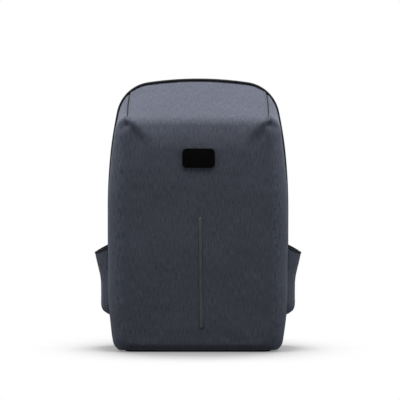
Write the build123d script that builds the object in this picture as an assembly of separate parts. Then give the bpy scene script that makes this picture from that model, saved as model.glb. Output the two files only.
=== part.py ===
from build123d import *
import math
import os

# A structured commuter backpack with a small solar module on its front.
# Frame: +Z up, origin on the floor under the middle of the bag. The front faces -Y and
# the wearer's back is at +Y. Sizes are in millimetres.

# ---------------------------------------------------------------- driving dimensions
HEIGHT = 450.0          # floor to the top of the arch
WIDTH = 300.0           # widest part of the body, without the side pockets
DEPTH = 170.0           # front ridge to the outside of the shoulder straps

# Arch seen from the front: large side arcs, tight shoulders, an almost flat top.
TOP_R = 568.0
SHOULDER_R = 62.0
SIDE_R = 930.0
LOW_R = 520.0
FOOT_R = 22.0
SIDE_TOP_Z = 230.0      # the sides are straight between these two heights
SIDE_LOW_Z = 110.0

# Side profile: the front leans out to a ridge, then slopes back to the top.
RIDGE_Y = -DEPTH / 2 - 2.0      # the sharp corner that RIDGE_R then rounds
RIDGE_Z = 384.0
FRONT_LOW_Y = RIDGE_Y + 17.0
RIDGE_R = 14.0
CORNER_R = 36.0         # front vertical corners, seen from above
PLAN_PROUD = 0.3
SEAM_X = WIDTH / 2 - CORNER_R   # the seams between the front panel and the side panels
SHELL_REAR = 33.0       # where the front shell ends and the main zip begins
PANEL_FRONT = 45.0      # where the opening back panel begins
PANEL_BACK = 50.0

# Layers of the front shell, as insets from the bag's outside.
FABRIC_IN, FOAM_IN, LINING_IN, CAVITY_IN = 3.0, 5.5, 8.0, 9.0
SOLE = 3.0              # thickness of the base panel
FAR = 200.0             # further than any part of the bag reaches

# Main zip: the tape's arch starts at ZIP_END_Z on both sides.
ZIP_END_Z = 66.0
ZIP_MID = (SHELL_REAR + PANEL_FRONT) / 2
TAPE_OUT, TAPE_IN = 1.0, 2.5
COIL_HALF = 2.0
SLIDER_Z = 95.0

# Side pockets.
POCKET_FRONT, POCKET_REAR = -40.0, 22.0
POCKET_Z = 63.0
POCKET_HALF = 158.8     # half width of the bag over the pockets' lower part
MOUTH_HALF = 167.0      # half width at the flared mouth
MOUTH_Z = 159.0
POCKET_WALL = 2.0
BINDING = 3.5

# Solar module and reflective strip on the front.
MODULE_X, MODULE_Z = 1.0, 321.0
MODULE_W, MODULE_H, MODULE_R = 53.0, 31.5, 7.0
BEZEL = 3.0
STRIP_X, STRIP_Z, STRIP_W, STRIP_L = 4.0, 131.8, 4.8, 184.0

# Power bank inside, and the USB port on the right side.
BANK_W, BANK_D, BANK_H = 70.0, 15.0, 110.0
BANK_Y, BANK_Z = -52.5, 115.0
PORT_Y, PORT_Z = 0.0, 215.0
PORT_W, PORT_H = 18.0, 32.0
PORT_BAND = (PORT_Z - 8.2, PORT_Z + 8.2)    # the strip of the side panel with the port
LEAD_R = 1.5

# Back panel and what it carries.
PAD_DEPTH = 11.0
SLEEVE_HALF, SLEEVE_LOW, SLEEVE_TOP = 128.0, 28.0, 300.0
SLEEVE_FRONT = 22.0
STRAP_TOP_Z, STRAP_END_Z = 418.0, 112.0
STRAP_PIVOT_Y = PANEL_BACK + 0.8
WEBBING_W, WEBBING_T = 25.0, 1.6
LOCK_X, LOCK_Y, LOCK_BAR_Z = 86.0, 67.5, 106.5
HANDLE_Z = 444.0
HANDLE_H = 22.0
HANDLE_Y = PANEL_BACK + 0.8
WELT_R = 1.9
WELT_Y = PANEL_FRONT + WELT_R
WELT_Z = SOLE + 0.3 + WELT_R

LEAN = math.atan((FRONT_LOW_Y - RIDGE_Y) / RIDGE_Z)
PARTS = {}


# ---------------------------------------------------------------- drawing helpers
def arc(centre, radius, start, end):
    """The short arc about centre from start to end."""
    middle = ((start - centre) + (end - centre)).normalized()
    return ThreePointArc(start, centre + middle * radius, end)


def crossing(centre_a, radius_a, centre_b, radius_b):
    """The upper point at radius_a from centre_a and radius_b from centre_b."""
    gap = centre_b - centre_a
    along = (radius_a**2 - radius_b**2 + gap.length**2) / (2 * gap.length)
    aside = math.sqrt(radius_a**2 - along**2)
    unit = gap.normalized()
    return centre_a + unit * along + Vector(-unit.Y, unit.X) * aside


def prism_x(face, x0, x1):
    """A face drawn in (y, z), extruded from x0 to x1."""
    return extrude(Plane.YZ.offset(x0) * face, x1 - x0)


def prism_y(face, y0, y1):
    """A face drawn in (x, z), extruded from y0 to y1."""
    return extrude(Plane.XZ.offset(-y1) * face, y1 - y0)


def prism_z(face, z0, z1):
    """A face drawn in (x, y), extruded from z0 to z1."""
    return extrude(Plane.XY.offset(z0) * face, z1 - z0)


def block(x0, x1, y0, y1, z0, z1):
    """A box between two corners."""
    size = Box(abs(x1 - x0), abs(y1 - y0), abs(z1 - z0))
    return Pos((x0 + x1) / 2, (y0 + y1) / 2, (z0 + z1) / 2) * size


def polygon(*points):
    """A face with straight sides."""
    return make_face(Polyline(*points, close=True))


def rounded(x0, x1, z0, z1, radius):
    """A rectangle with round corners, as a face in two coordinates."""
    return Pos((x0 + x1) / 2, (z0 + z1) / 2) * RectangleRounded(x1 - x0, z1 - z0, radius)


def between(solid, low, high=3 * FAR):
    """The part of a solid between two heights."""
    return solid & block(-FAR, FAR, -FAR, FAR, low, high)


# ---------------------------------------------------------------- the bag's outer form
def arch(inset=0.0):
    """The bag's outline from the front, as a face in (x, z), shrunk by inset."""
    half = WIDTH / 2
    side = Vector(half - SIDE_R, SIDE_TOP_Z)
    top = Vector(0, HEIGHT - TOP_R)
    low = Vector(half - LOW_R, SIDE_LOW_Z)
    shoulder = crossing(side, SIDE_R - SHOULDER_R, top, TOP_R - SHOULDER_R)
    reach = math.sqrt((LOW_R - FOOT_R) ** 2 - (FOOT_R - low.Y) ** 2)
    foot = Vector(low.X + reach, FOOT_R)
    sole_end = Vector(foot.X, inset)
    foot_end = low + (foot - low).normalized() * (LOW_R - inset)
    low_end = Vector(half - inset, SIDE_LOW_Z)
    side_start = Vector(half - inset, SIDE_TOP_Z)
    side_end = side + (shoulder - side).normalized() * (SIDE_R - inset)
    top_start = top + (shoulder - top).normalized() * (TOP_R - inset)
    right = [
        arc(foot, FOOT_R - inset, sole_end, foot_end),
        arc(low, LOW_R - inset, foot_end, low_end),
        Line(low_end, side_start),
        arc(side, SIDE_R - inset, side_start, side_end),
        arc(shoulder, SHOULDER_R - inset, side_end, top_start),
    ]
    left = [mirror(edge, about=Plane.YZ) for edge in right]
    crown = ThreePointArc(top_start, (0, HEIGHT - inset), (-top_start.X, top_start.Y))
    sole = Line(sole_end, (-sole_end.X, sole_end.Y))
    return make_face(right + left + [crown, sole])


def side_profile(inset=0.0):
    """The shell from the side, as a face in (y, z), open towards the rear."""
    rise = (HEIGHT - RIDGE_Z) / (SHELL_REAR - RIDGE_Y)
    end = SHELL_REAR + 60
    face = polygon(
        (end, 0), (FRONT_LOW_Y, 0), (RIDGE_Y, RIDGE_Z), (end, RIDGE_Z + rise * (end - RIDGE_Y))
    )
    face = fillet(face.vertices().sort_by_distance((RIDGE_Y, RIDGE_Z))[0], RIDGE_R)
    face = fillet(face.vertices().sort_by_distance((FRONT_LOW_Y, 0))[0], FOOT_R)
    return offset(face, -inset) if inset else face


def plan(inset=0.0):
    """The shell from above, as a face in (x, y), with round front corners.

    Its front is a little proud of the side profile's, so that the two faces never coincide.
    """
    half = WIDTH / 2 - inset
    front = FRONT_LOW_Y + inset / math.cos(LEAN) - PLAN_PROUD
    face = polygon((-half, front), (half, front), (half, FAR), (-half, FAR))
    corners = face.vertices().sort_by(Axis.Y)[:2]
    return fillet(corners, CORNER_R - inset)


def form(inset, rear):
    """The closed form of the front shell at an inset, from the front to y = rear."""
    leaning = extrude(plan(inset), HEIGHT + 20, dir=(0, -math.sin(LEAN), math.cos(LEAN)))
    return prism_y(arch(inset), -FAR, rear) & prism_x(side_profile(inset), -FAR, FAR) & leaning


def tray(outside, inside):
    """One layer of the shell, open at the rear."""
    return form(outside, SHELL_REAR) - form(inside, SHELL_REAR + 5)


def front_y(z, inset=0.0):
    """y of the front face at a height and inset."""
    return FRONT_LOW_Y + (RIDGE_Y - FRONT_LOW_Y) * z / RIDGE_Z + inset / math.cos(LEAN)


def front_plane(x, z):
    """A plane on the shell's front fabric, its normal pointing out of the bag."""
    normal = (0, -math.cos(LEAN), -math.sin(LEAN))
    return Plane(origin=(x, front_y(z, FABRIC_IN), z), x_dir=(1, 0, 0), z_dir=normal)


def layer(plane, face, low, high):
    """A face drawn on a plane, extruded between two heights above it."""
    return extrude(plane.offset(low) * face, high - low)


# ---------------------------------------------------------------- front shell
def make_shell():
    module = front_plane(MODULE_X, MODULE_Z)
    gland = layer(module, Circle(2.7), -12, 1)
    port = block(120, 160, PORT_Y - 7.7, PORT_Y + 7.7, *PORT_BAND)
    cuts = gland + port
    fabric = tray(FABRIC_IN, FOAM_IN) - cuts
    PARTS["front_panel"] = fabric & block(-SEAM_X, SEAM_X, -FAR, FAR, 0, 2 * HEIGHT)
    PARTS["left_side_panel"] = fabric & block(-FAR, -SEAM_X, -FAR, FAR, 0, 2 * HEIGHT)
    right_side = fabric & block(SEAM_X, FAR, -FAR, FAR, 0, 2 * HEIGHT)
    port_band = block(0, FAR, -FAR, FAR, *PORT_BAND)
    PARTS["right_side_panel"] = right_side - port_band
    PARTS["right_port_panel"] = right_side & port_band
    PARTS["foam_shell"] = tray(FOAM_IN, LINING_IN) - cuts
    PARTS["shell_lining"] = tray(LINING_IN, CAVITY_IN) - cuts
    sole = block(-FAR, FAR, -FAR, FAR, 0, SOLE)
    footprint = extrude(plan(), HEIGHT, dir=(0, -math.sin(LEAN), math.cos(LEAN)))
    PARTS["base_panel"] = (
        prism_y(arch(), -FAR, PANEL_FRONT - 0.5) & prism_x(side_profile(), -FAR, FAR)
        & footprint & sole
    )
    welt = prism_x(Pos(WELT_Y, WELT_Z) * Circle(WELT_R), -118, 118)
    PARTS["base_hinge_welt"] = welt
    rim = prism_y(arch(0.2) - arch(6.0), SHELL_REAR - 5, SHELL_REAR)
    PARTS["rim_binding"] = between(rim - form(FABRIC_IN, SHELL_REAR + 5), SOLE + 0.3)


def make_strip():
    plane = front_plane(STRIP_X, STRIP_Z)
    PARTS["reflective_strip"] = layer(plane, Rectangle(STRIP_W, STRIP_L), 0, 0.6)


# ---------------------------------------------------------------- main zip
def zip_tape(y0, y1, coil_y0, coil_y1):
    """Half of the zip's arch: a flat tape with a coil along its inner edge."""
    tape = prism_y(arch(TAPE_OUT) - arch(TAPE_IN), y0, y1)
    coil = prism_y(arch(-0.2) - arch(TAPE_OUT), coil_y0, coil_y1)
    return between(tape + coil, ZIP_END_Z)


def make_zip():
    PARTS["zip_tape_front"] = zip_tape(
        SHELL_REAR, ZIP_MID - 0.3, ZIP_MID - COIL_HALF, ZIP_MID - 0.3
    )
    PARTS["zip_tape_rear"] = zip_tape(
        ZIP_MID + 0.3, PANEL_FRONT, ZIP_MID + 0.3, ZIP_MID + COIL_HALF
    )
    stop = prism_y(arch(-1.2) - arch(TAPE_OUT), ZIP_MID - 3, ZIP_MID - 0.3)
    PARTS["zip_end_stops"] = between(stop, ZIP_END_Z - 6, ZIP_END_Z - 0.5)
    gusset = prism_y(arch(TAPE_OUT) - arch(TAPE_IN), SHELL_REAR, PANEL_FRONT - 0.8)
    PARTS["hinge_gusset"] = between(gusset, SOLE, ZIP_END_Z - 0.5)
    make_slider()


def make_slider():
    """The slider rides on the left side with its pull hanging below the crossbar.

    It hooks the front tape only, so that the back panel can leave it as the zip opens.
    """
    face_x = -(WIDTH / 2 + 4.2)
    bar_x, bar_z, bar_r = face_x - 2.6, SLIDER_Z + 3, 0.8
    body = block(face_x, -149.4, ZIP_MID - 4.5, ZIP_MID + 4.5, SLIDER_Z - 6.5, SLIDER_Z + 6.5)
    body -= block(-150.5, -149, ZIP_MID - 2.6, ZIP_MID + 6, SLIDER_Z - 10, SLIDER_Z + 10)
    body = chamfer(body.edges().filter_by(Axis.X).group_by(Axis.X)[0], 1.2)
    for side in (-1, 1):
        edges = sorted((ZIP_MID + side * 1.0, ZIP_MID + side * 1.9))
        body += block(bar_x - 1.2, face_x + 0.5, *edges, bar_z - 1.4, bar_z + 1.4)
    pin = Pos(bar_x, ZIP_MID, bar_z) * Rot(90, 0, 0) * Cylinder(bar_r, 2.6)
    PARTS["zip_slider"] = body + pin
    eye = Circle(2.0) - Circle(bar_r + 0.08)
    pull = prism_y(Pos(bar_x, bar_z) * eye, ZIP_MID - 0.8, ZIP_MID + 0.8)
    neck = rounded(bar_x - 0.8, bar_x + 0.8, bar_z - 8, bar_z - 1.4, 0.3)
    pull += prism_y(neck, ZIP_MID - 0.8, ZIP_MID + 0.8)
    tab = rounded(ZIP_MID - 3.4, ZIP_MID + 3.4, bar_z - 31, bar_z - 6, 2.4)
    tab -= Pos(ZIP_MID, bar_z - 26.5) * Circle(1.5)
    PARTS["zip_pull"] = pull + prism_x(tab, bar_x - 0.9, bar_x + 0.9)


# ---------------------------------------------------------------- side pockets
def pocket_form(inset, top):
    """The right pocket's form at an inset, ending in the given (x, z) points at the top."""
    half, mouth = POCKET_HALF - inset, MOUTH_HALF - inset
    front, rear = POCKET_FRONT + inset, POCKET_REAR - inset
    low = POCKET_Z + inset
    face = polygon((138, low), (half - 6, low), (half, low + 8), (half, 120),
                   (mouth, MOUTH_Z), *top)
    bulge = ThreePointArc((142, front), (mouth + 0.5, (front + rear) / 2), (142, rear))
    inner = Polyline((142, rear), (138, rear), (138, front), (142, front))
    return prism_y(face, POCKET_FRONT, POCKET_REAR) & prism_z(make_face([bulge, inner]), 0, HEIGHT)


def make_pockets():
    shell = form(FABRIC_IN, SHELL_REAR)
    mouth = MOUTH_HALF - POCKET_WALL
    solid = pocket_form(0, [(147, 171), (138, 171)])
    wall = solid - pocket_form(POCKET_WALL, [(mouth, 240), (138, 240)])
    slant = polygon((120, 187.2 - BINDING), (190, 145.2 - BINDING), (190, 240), (120, 240))
    edge_zone = prism_y(slant, -FAR, FAR)
    right = {"side_pocket": wall - edge_zone, "pocket_binding": wall & edge_zone}
    for name, solid in right.items():
        PARTS["right_" + name] = solid - shell
        PARTS["left_" + name] = mirror(solid, about=Plane.YZ) - shell


# ---------------------------------------------------------------- solar module
def make_module():
    plane = front_plane(MODULE_X, MODULE_Z)
    outside = RectangleRounded(MODULE_W, MODULE_H, MODULE_R)
    window = RectangleRounded(MODULE_W - 2 * BEZEL, MODULE_H - 2 * BEZEL, MODULE_R - BEZEL)
    cell_face = RectangleRounded(MODULE_W - 2 * BEZEL - 0.2, MODULE_H - 2 * BEZEL - 0.2, 3.8)
    frame = layer(plane, outside, 0, 2.8) - layer(plane, window, 1.0, 3)
    frame += layer(plane, Circle(2.5), -7.2, 0)
    frame -= layer(plane, Circle(LEAD_R + 0.1), -8, 1)
    PARTS["solar_bezel"] = frame
    PARTS["solar_cell"] = layer(plane, cell_face, 1.0, 1.4)
    PARTS["solar_cover_glass"] = layer(plane, cell_face, 1.4, 2.6)
    nut = RegularPolygon(6.0, 6) - Circle(2.5)
    PARTS["gland_nut"] = layer(plane, nut, -7.9, -6.0)


# ---------------------------------------------------------------- power bank and leads
def make_bank():
    x = BANK_W / 2
    y0, y1 = BANK_Y - BANK_D / 2, BANK_Y + BANK_D / 2
    z0, z1 = BANK_Z - BANK_H / 2, BANK_Z + BANK_H / 2
    hollow = prism_y(rounded(-x + 1.6, x - 1.6, z0 + 1.6, z1 - 1.6, 6.4), y0 + 1.6, y1 - 1.6)
    shell = prism_y(rounded(-x, x, z0, z1, 8), y0, y1) - hollow
    PARTS["bank_front_case"] = shell & block(-FAR, FAR, y0, BANK_Y, 0, FAR)
    PARTS["bank_rear_case"] = shell & block(-FAR, FAR, BANK_Y, y1, 0, FAR)
    PARTS["battery_cell"] = block(-30, 30, y0 + 2.4, y1 - 4, z0 + 4, z0 + 82)
    PARTS["charge_board"] = block(-29, 29, y0 + 3, y0 + 4.2, z0 + 84, z1 - 4)
    cavity = form(CAVITY_IN, SHELL_REAR)
    outer = block(-x - 4, x + 4, -FAR, y1 + 3, z0 - 4, z0 + 90)
    inner = block(-x - 2.8, x + 2.8, -FAR, y1 + 1.8, z0 - 2.8, z0 + 120)
    PARTS["bank_pocket"] = (outer - inner) & cavity


def lead(points, radii):
    """A round lead along straight runs joined by arcs."""
    path = FilletPolyline(*points, radius=radii)
    start = Plane(origin=path @ 0, z_dir=path % 0)
    return sweep(start * Circle(LEAD_R), path=path)


def make_leads():
    plane = front_plane(MODULE_X, MODULE_Z)
    gland_end = plane.origin - plane.z_dir * 8.0
    turn = gland_end - plane.z_dir * 11.0
    bank_top = BANK_Z + BANK_H / 2
    PARTS["solar_lead"] = lead(
        [gland_end, turn, (4, -57, 272), (14, -56, 232), (22, BANK_Y, 200),
         (22, BANK_Y, bank_top)],
        [9, 60, 60, 40],
    )
    PARTS["usb_lead"] = lead(
        [(BANK_W / 2, BANK_Y, 158), (60, BANK_Y, 158), (100, -50, 160), (126, -32, 166),
         (134, PORT_Y - 6, 180), (134, PORT_Y, 196), (134, PORT_Y, PORT_Z - 8)],
        [60, 30, 18, 14, 10],
    )


def make_port():
    """A USB socket in the right side under a hinged rubber cover."""
    wall = WIDTH / 2 - FABRIC_IN
    plate = rounded(PORT_Y - PORT_W / 2, PORT_Y + PORT_W / 2,
                    PORT_Z - PORT_H / 2, PORT_Z + PORT_H / 2, 5)
    body = prism_x(plate, wall, wall + 1.4)
    body += block(wall - 17, wall, PORT_Y - 7.5, PORT_Y + 7.5, PORT_Z - 8, PORT_Z + 8)
    body -= block(wall - 13.5, wall + 3, PORT_Y - 2.6, PORT_Y + 2.6, PORT_Z - 6.4, PORT_Z + 6.4)
    PARTS["usb_port"] = body
    flap = rounded(PORT_Y - 8, PORT_Y + 8, PORT_Z - 14.5, PORT_Z + 14.5, 4)
    PARTS["usb_cover"] = prism_x(flap, wall + 1.5, wall + 2.7)


# ---------------------------------------------------------------- back panel
def make_back_panel():
    low = WELT_Z + WELT_R + 0.9
    skin = prism_y(arch(1.5), PANEL_FRONT, PANEL_BACK)
    skin -= prism_y(arch(4.0), PANEL_FRONT - 1, PANEL_BACK - 2)
    lower_wall = prism_y(arch(1.5) & rounded(-FAR, FAR, 0, low + 2.5, 0.5),
                         PANEL_FRONT, PANEL_BACK)
    PARTS["back_fabric"] = between(skin + lower_wall, low)
    PARTS["frame_sheet"] = between(prism_y(arch(4.2), PANEL_FRONT + 1, PANEL_BACK - 2.2), low + 2.7)
    PARTS["back_lining"] = between(prism_y(arch(4.2), PANEL_FRONT, PANEL_FRONT + 1), low + 2.7)
    for side, name in ((-1, "left"), (1, "right")):
        edges = sorted((side * 10, side * 118))
        pad = prism_y(rounded(*edges, 116, 380, 22), PANEL_BACK, PANEL_BACK + PAD_DEPTH)
        PARTS[name + "_back_pad"] = fillet(pad.faces().sort_by(Axis.Y)[-1].edges(), 4)
    lumbar = prism_y(rounded(-68, 68, 28, 100, 22), PANEL_BACK, PANEL_BACK + PAD_DEPTH - 1)
    PARTS["lumbar_pad"] = fillet(lumbar.faces().sort_by(Axis.Y)[-1].edges(), 4)


def make_sleeve():
    """A padded laptop sleeve on the inside of the back panel, open at the top."""
    wall = 3.0
    outer = rounded(-SLEEVE_HALF, SLEEVE_HALF, SLEEVE_LOW, SLEEVE_TOP, 10)
    inner = rounded(-SLEEVE_HALF + wall, SLEEVE_HALF - wall, SLEEVE_LOW + wall, SLEEVE_TOP + 40, 8)
    sleeve = prism_y(outer, SLEEVE_FRONT, PANEL_FRONT)
    PARTS["laptop_sleeve"] = sleeve - prism_y(inner, SLEEVE_FRONT + wall, PANEL_FRONT + 5)


def make_handle():
    """A grab handle at the top of the back, arched so that a hand fits behind it."""
    outer = ThreePointArc((-57, HANDLE_Y), (0, HANDLE_Y + 21.6), (57, HANDLE_Y))
    inner = ThreePointArc((48, HANDLE_Y), (0, HANDLE_Y + 16.6), (-48, HANDLE_Y))
    ends = [Line((57, HANDLE_Y), (48, HANDLE_Y)), Line((-48, HANDLE_Y), (-57, HANDLE_Y))]
    PARTS["top_handle"] = prism_z(make_face([outer, inner] + ends), HANDLE_Z - HANDLE_H, HANDLE_Z)
    for side, name in ((-1, "left"), (1, "right")):
        patch = rounded(*sorted((side * 42, side * 62)), HANDLE_Z - HANDLE_H - 2, HANDLE_Z, 3)
        PARTS[name + "_handle_patch"] = prism_y(patch, PANEL_BACK, PANEL_BACK + 0.5)


# ---------------------------------------------------------------- shoulder straps
def strap_pad():
    """The right padded strap: a curved band from the side, an S from behind."""
    inner = Spline((STRAP_PIVOT_Y, STRAP_TOP_Z), (66, 375), (75.5, 280), (68, 180),
                   (LOCK_Y - 4.5, STRAP_END_Z))
    outer = Spline((LOCK_Y + 4.5, STRAP_END_Z), (77, 180), (DEPTH / 2, 282), (76, 380),
                   (STRAP_PIVOT_Y + 7, STRAP_TOP_Z))
    band = make_face([inner, Line(inner @ 1, outer @ 0), outer, Line(outer @ 1, inner @ 0)])
    near = ThreePointArc((26, STRAP_TOP_Z), (47, 290), (68, STRAP_END_Z))
    far = ThreePointArc((104, STRAP_END_Z), (106, 290), (84, STRAP_TOP_Z))
    shape = make_face([near, Line(near @ 1, far @ 0), far, Line(far @ 1, near @ 0)])
    return prism_x(band, 0, FAR) & prism_y(shape, 0, FAR)


def ladder_lock():
    """A buckle with a round top bar in the pad's loop and two slots for webbing."""
    half_w, half_t = 18.0, 2.5
    z0, z1 = LOCK_BAR_Z - 18.5, LOCK_BAR_Z + 2.0
    frame = prism_y(rounded(LOCK_X - half_w, LOCK_X + half_w, z0, z1, 3),
                    LOCK_Y - half_t, LOCK_Y + half_t)
    slots = [(LOCK_BAR_Z - 6.5, LOCK_BAR_Z + 4), (LOCK_BAR_Z - 14, LOCK_BAR_Z - 9)]
    for low, high in slots:
        frame -= block(LOCK_X - 13.5, LOCK_X + 13.5, 0, FAR, low, high)
    bar = prism_x(Pos(LOCK_Y, LOCK_BAR_Z) * Circle(1.6), LOCK_X - half_w + 2, LOCK_X + half_w - 2)
    return frame + bar


def pad_loop():
    """A short webbing loop that holds the buckle's top bar under the pad."""
    low = LOCK_BAR_Z - 3.6
    outer = polygon((LOCK_Y - 4.5, low), (LOCK_Y + 4.5, low),
                    (LOCK_Y + 4.5, STRAP_END_Z), (LOCK_Y - 4.5, STRAP_END_Z))
    inner = polygon((LOCK_Y - 3, low + 1.5), (LOCK_Y + 3, low + 1.5),
                    (LOCK_Y + 3, STRAP_END_Z), (LOCK_Y - 3, STRAP_END_Z))
    half = WEBBING_W / 2
    return prism_x(outer - inner, LOCK_X - half, LOCK_X + half)


def strap_tail():
    """The webbing's free end: through the lower slot, then down in front of it."""
    top = LOCK_BAR_Z - 10.2
    half = WEBBING_W / 2
    through = block(LOCK_X - half, LOCK_X + half, LOCK_Y - 3.6, LOCK_Y + 4.6,
                    top - WEBBING_T, top)
    hanging = block(LOCK_X - half, LOCK_X + half, LOCK_Y + 3, LOCK_Y + 3 + WEBBING_T, 26, top)
    folded = block(LOCK_X - half, LOCK_X + half, LOCK_Y + 3, LOCK_Y + 3 + 2 * WEBBING_T, 22, 38)
    return through + hanging + folded


def lower_webbing():
    """Webbing from the bottom corner up to the back of the buckle."""
    low_y, high_y = PANEL_BACK + 2.2, LOCK_Y - 6.0
    low_z, high_z = 22.0, LOCK_BAR_Z - 10.5
    band = polygon((low_y, low_z), (low_y + WEBBING_T, low_z),
                   (high_y + WEBBING_T, high_z), (high_y, high_z))
    low_x, half = 120.0, WEBBING_W / 2
    shape = polygon((low_x - half, low_z), (low_x + half, low_z),
                    (LOCK_X + half, high_z), (LOCK_X - half, high_z))
    return prism_x(band, 0, FAR) & prism_y(shape, 0, FAR)


def webbing_anchor():
    """A triangular patch that holds the lower webbing on the back panel."""
    shape = polygon((98, 14), (136, 14), (140, 40), (124, 52))
    return prism_y(fillet(shape.vertices(), 3), PANEL_BACK, PANEL_BACK + 2)


def strap_patch():
    """The stitched patch that the strap's top seam is sewn through."""
    patch = rounded(21, 89, STRAP_TOP_Z - 14, STRAP_TOP_Z + 2, 3)
    return prism_y(patch, PANEL_BACK, PANEL_BACK + 0.5)


def make_straps():
    right = {
        "strap_patch": strap_patch(),
        "strap_pad": strap_pad(),
        "pad_loop": pad_loop(),
        "ladder_lock": ladder_lock(),
        "strap_tail": strap_tail(),
        "lower_webbing": lower_webbing(),
        "webbing_anchor": webbing_anchor(),
    }
    for name, solid in right.items():
        PARTS["right_" + name] = solid
        PARTS["left_" + name] = mirror(solid, about=Plane.YZ)


make_shell()
make_strip()
make_zip()
make_pockets()
make_module()
make_bank()
make_leads()
make_port()
make_back_panel()
make_sleeve()
make_handle()
make_straps()

os.makedirs("parts", exist_ok=True)
for node, shape in PARTS.items():
    export_step(shape, f"parts/{node}.step")
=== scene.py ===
import math
from functools import partial

import bmesh
import bpy
import numpy as np
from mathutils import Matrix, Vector, noise
from mathutils.bvhtree import BVHTree


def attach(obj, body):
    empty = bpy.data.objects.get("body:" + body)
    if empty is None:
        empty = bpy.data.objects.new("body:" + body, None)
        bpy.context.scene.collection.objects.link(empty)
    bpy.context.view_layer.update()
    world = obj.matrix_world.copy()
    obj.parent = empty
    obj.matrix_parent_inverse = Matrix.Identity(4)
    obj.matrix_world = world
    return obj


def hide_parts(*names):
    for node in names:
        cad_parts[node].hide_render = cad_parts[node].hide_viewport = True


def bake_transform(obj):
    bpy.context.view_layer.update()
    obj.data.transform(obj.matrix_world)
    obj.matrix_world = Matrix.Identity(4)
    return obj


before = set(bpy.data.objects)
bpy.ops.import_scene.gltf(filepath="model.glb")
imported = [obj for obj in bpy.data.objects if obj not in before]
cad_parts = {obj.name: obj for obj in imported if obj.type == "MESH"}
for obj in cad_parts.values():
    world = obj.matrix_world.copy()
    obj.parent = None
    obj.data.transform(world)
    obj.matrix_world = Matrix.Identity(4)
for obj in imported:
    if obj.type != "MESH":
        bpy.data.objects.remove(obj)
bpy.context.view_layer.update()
MM = 0.001

# ---------------------------------------------------------------- the bag's form, in mm
HALF, HEIGHT = 150.0, 450.0
SIDE_C, SIDE_R = np.array([-780.0, 230.0]), 930.0
TOP_C, TOP_R = np.array([0.0, -118.0]), 568.0
LOW_C, LOW_R = np.array([-370.0, 110.0]), 520.0
SHOULDER_R, FOOT_R = 62.0, 22.0
FABRIC_IN = 3.0
REAR_Y = 33.0
DART_X, RIDGE_Z = 115.0, 384.0
MODULE_X, MODULE_Z = 1.0, 321.0
CORNER_Z = 358.0                # where the sides' arc starts to turn into the ridge corner
FRONT_LOW_Y, FRONT_LEAN = -70.0, 17.0
CLOTH_PROUD, LINING_IN = 3.8, 7.6
ZIP_Y = 39.0                    # the middle of the main zip
PANEL_FRONT_Y = 45.4
POCKET_ROWS, POCKET_COLS = 46, 61
POCKET_ROOT, POCKET_FOOT_Z = 145.6, 61
STRAP_STATIONS = 110
BUCKLE_X, BUCKLE_Y = 86.0, 67.5


def smooth(edge0, edge1, x):
    """0 below edge0, 1 above edge1, and a smooth step between."""
    t = np.clip((np.asarray(x, float) - edge0) / (edge1 - edge0), 0, 1)
    return t * t * (3 - 2 * t)


def bump(x, centre, width):
    """A round bump of height 1."""
    return np.exp(-(((np.asarray(x, float) - centre) / width) ** 2))


def crossing(ca, ra, cb, rb):
    gap = cb - ca
    d = np.linalg.norm(gap)
    along = (ra * ra - rb * rb + d * d) / (2 * d)
    u = gap / d
    return ca + u * along + np.array([-u[1], u[0]]) * math.sqrt(ra * ra - along * along)


SHOULDER_C = crossing(SIDE_C, SIDE_R - SHOULDER_R, TOP_C, TOP_R - SHOULDER_R)
FOOT_C = np.array(
    [LOW_C[0] + math.sqrt((LOW_R - FOOT_R) ** 2 - (FOOT_R - LOW_C[1]) ** 2), FOOT_R]
)


def angle(centre, point):
    return math.atan2(point[1] - centre[1], point[0] - centre[0])


LOW_A = angle(LOW_C, FOOT_C)
SIDE_A = angle(SIDE_C, SHOULDER_C)
TOP_A = angle(TOP_C, SHOULDER_C)


def on_arc(centre, radius, angles):
    a = np.asarray(angles, float)
    return np.stack([centre[0] + radius * np.cos(a), centre[1] + radius * np.sin(a)], -1)


def clustered(n, near, width, strength):
    """n + 1 values from 0 to 1, closer together around each value in near."""
    t = np.linspace(0, 1, 2001)
    density = np.ones_like(t)
    for c in near:
        density += strength * bump(t, c, width)
    total = np.concatenate([[0], np.cumsum((density[1:] + density[:-1]) / 2)])
    return np.interp(np.linspace(0, total[-1], n + 1), total, t)


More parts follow.
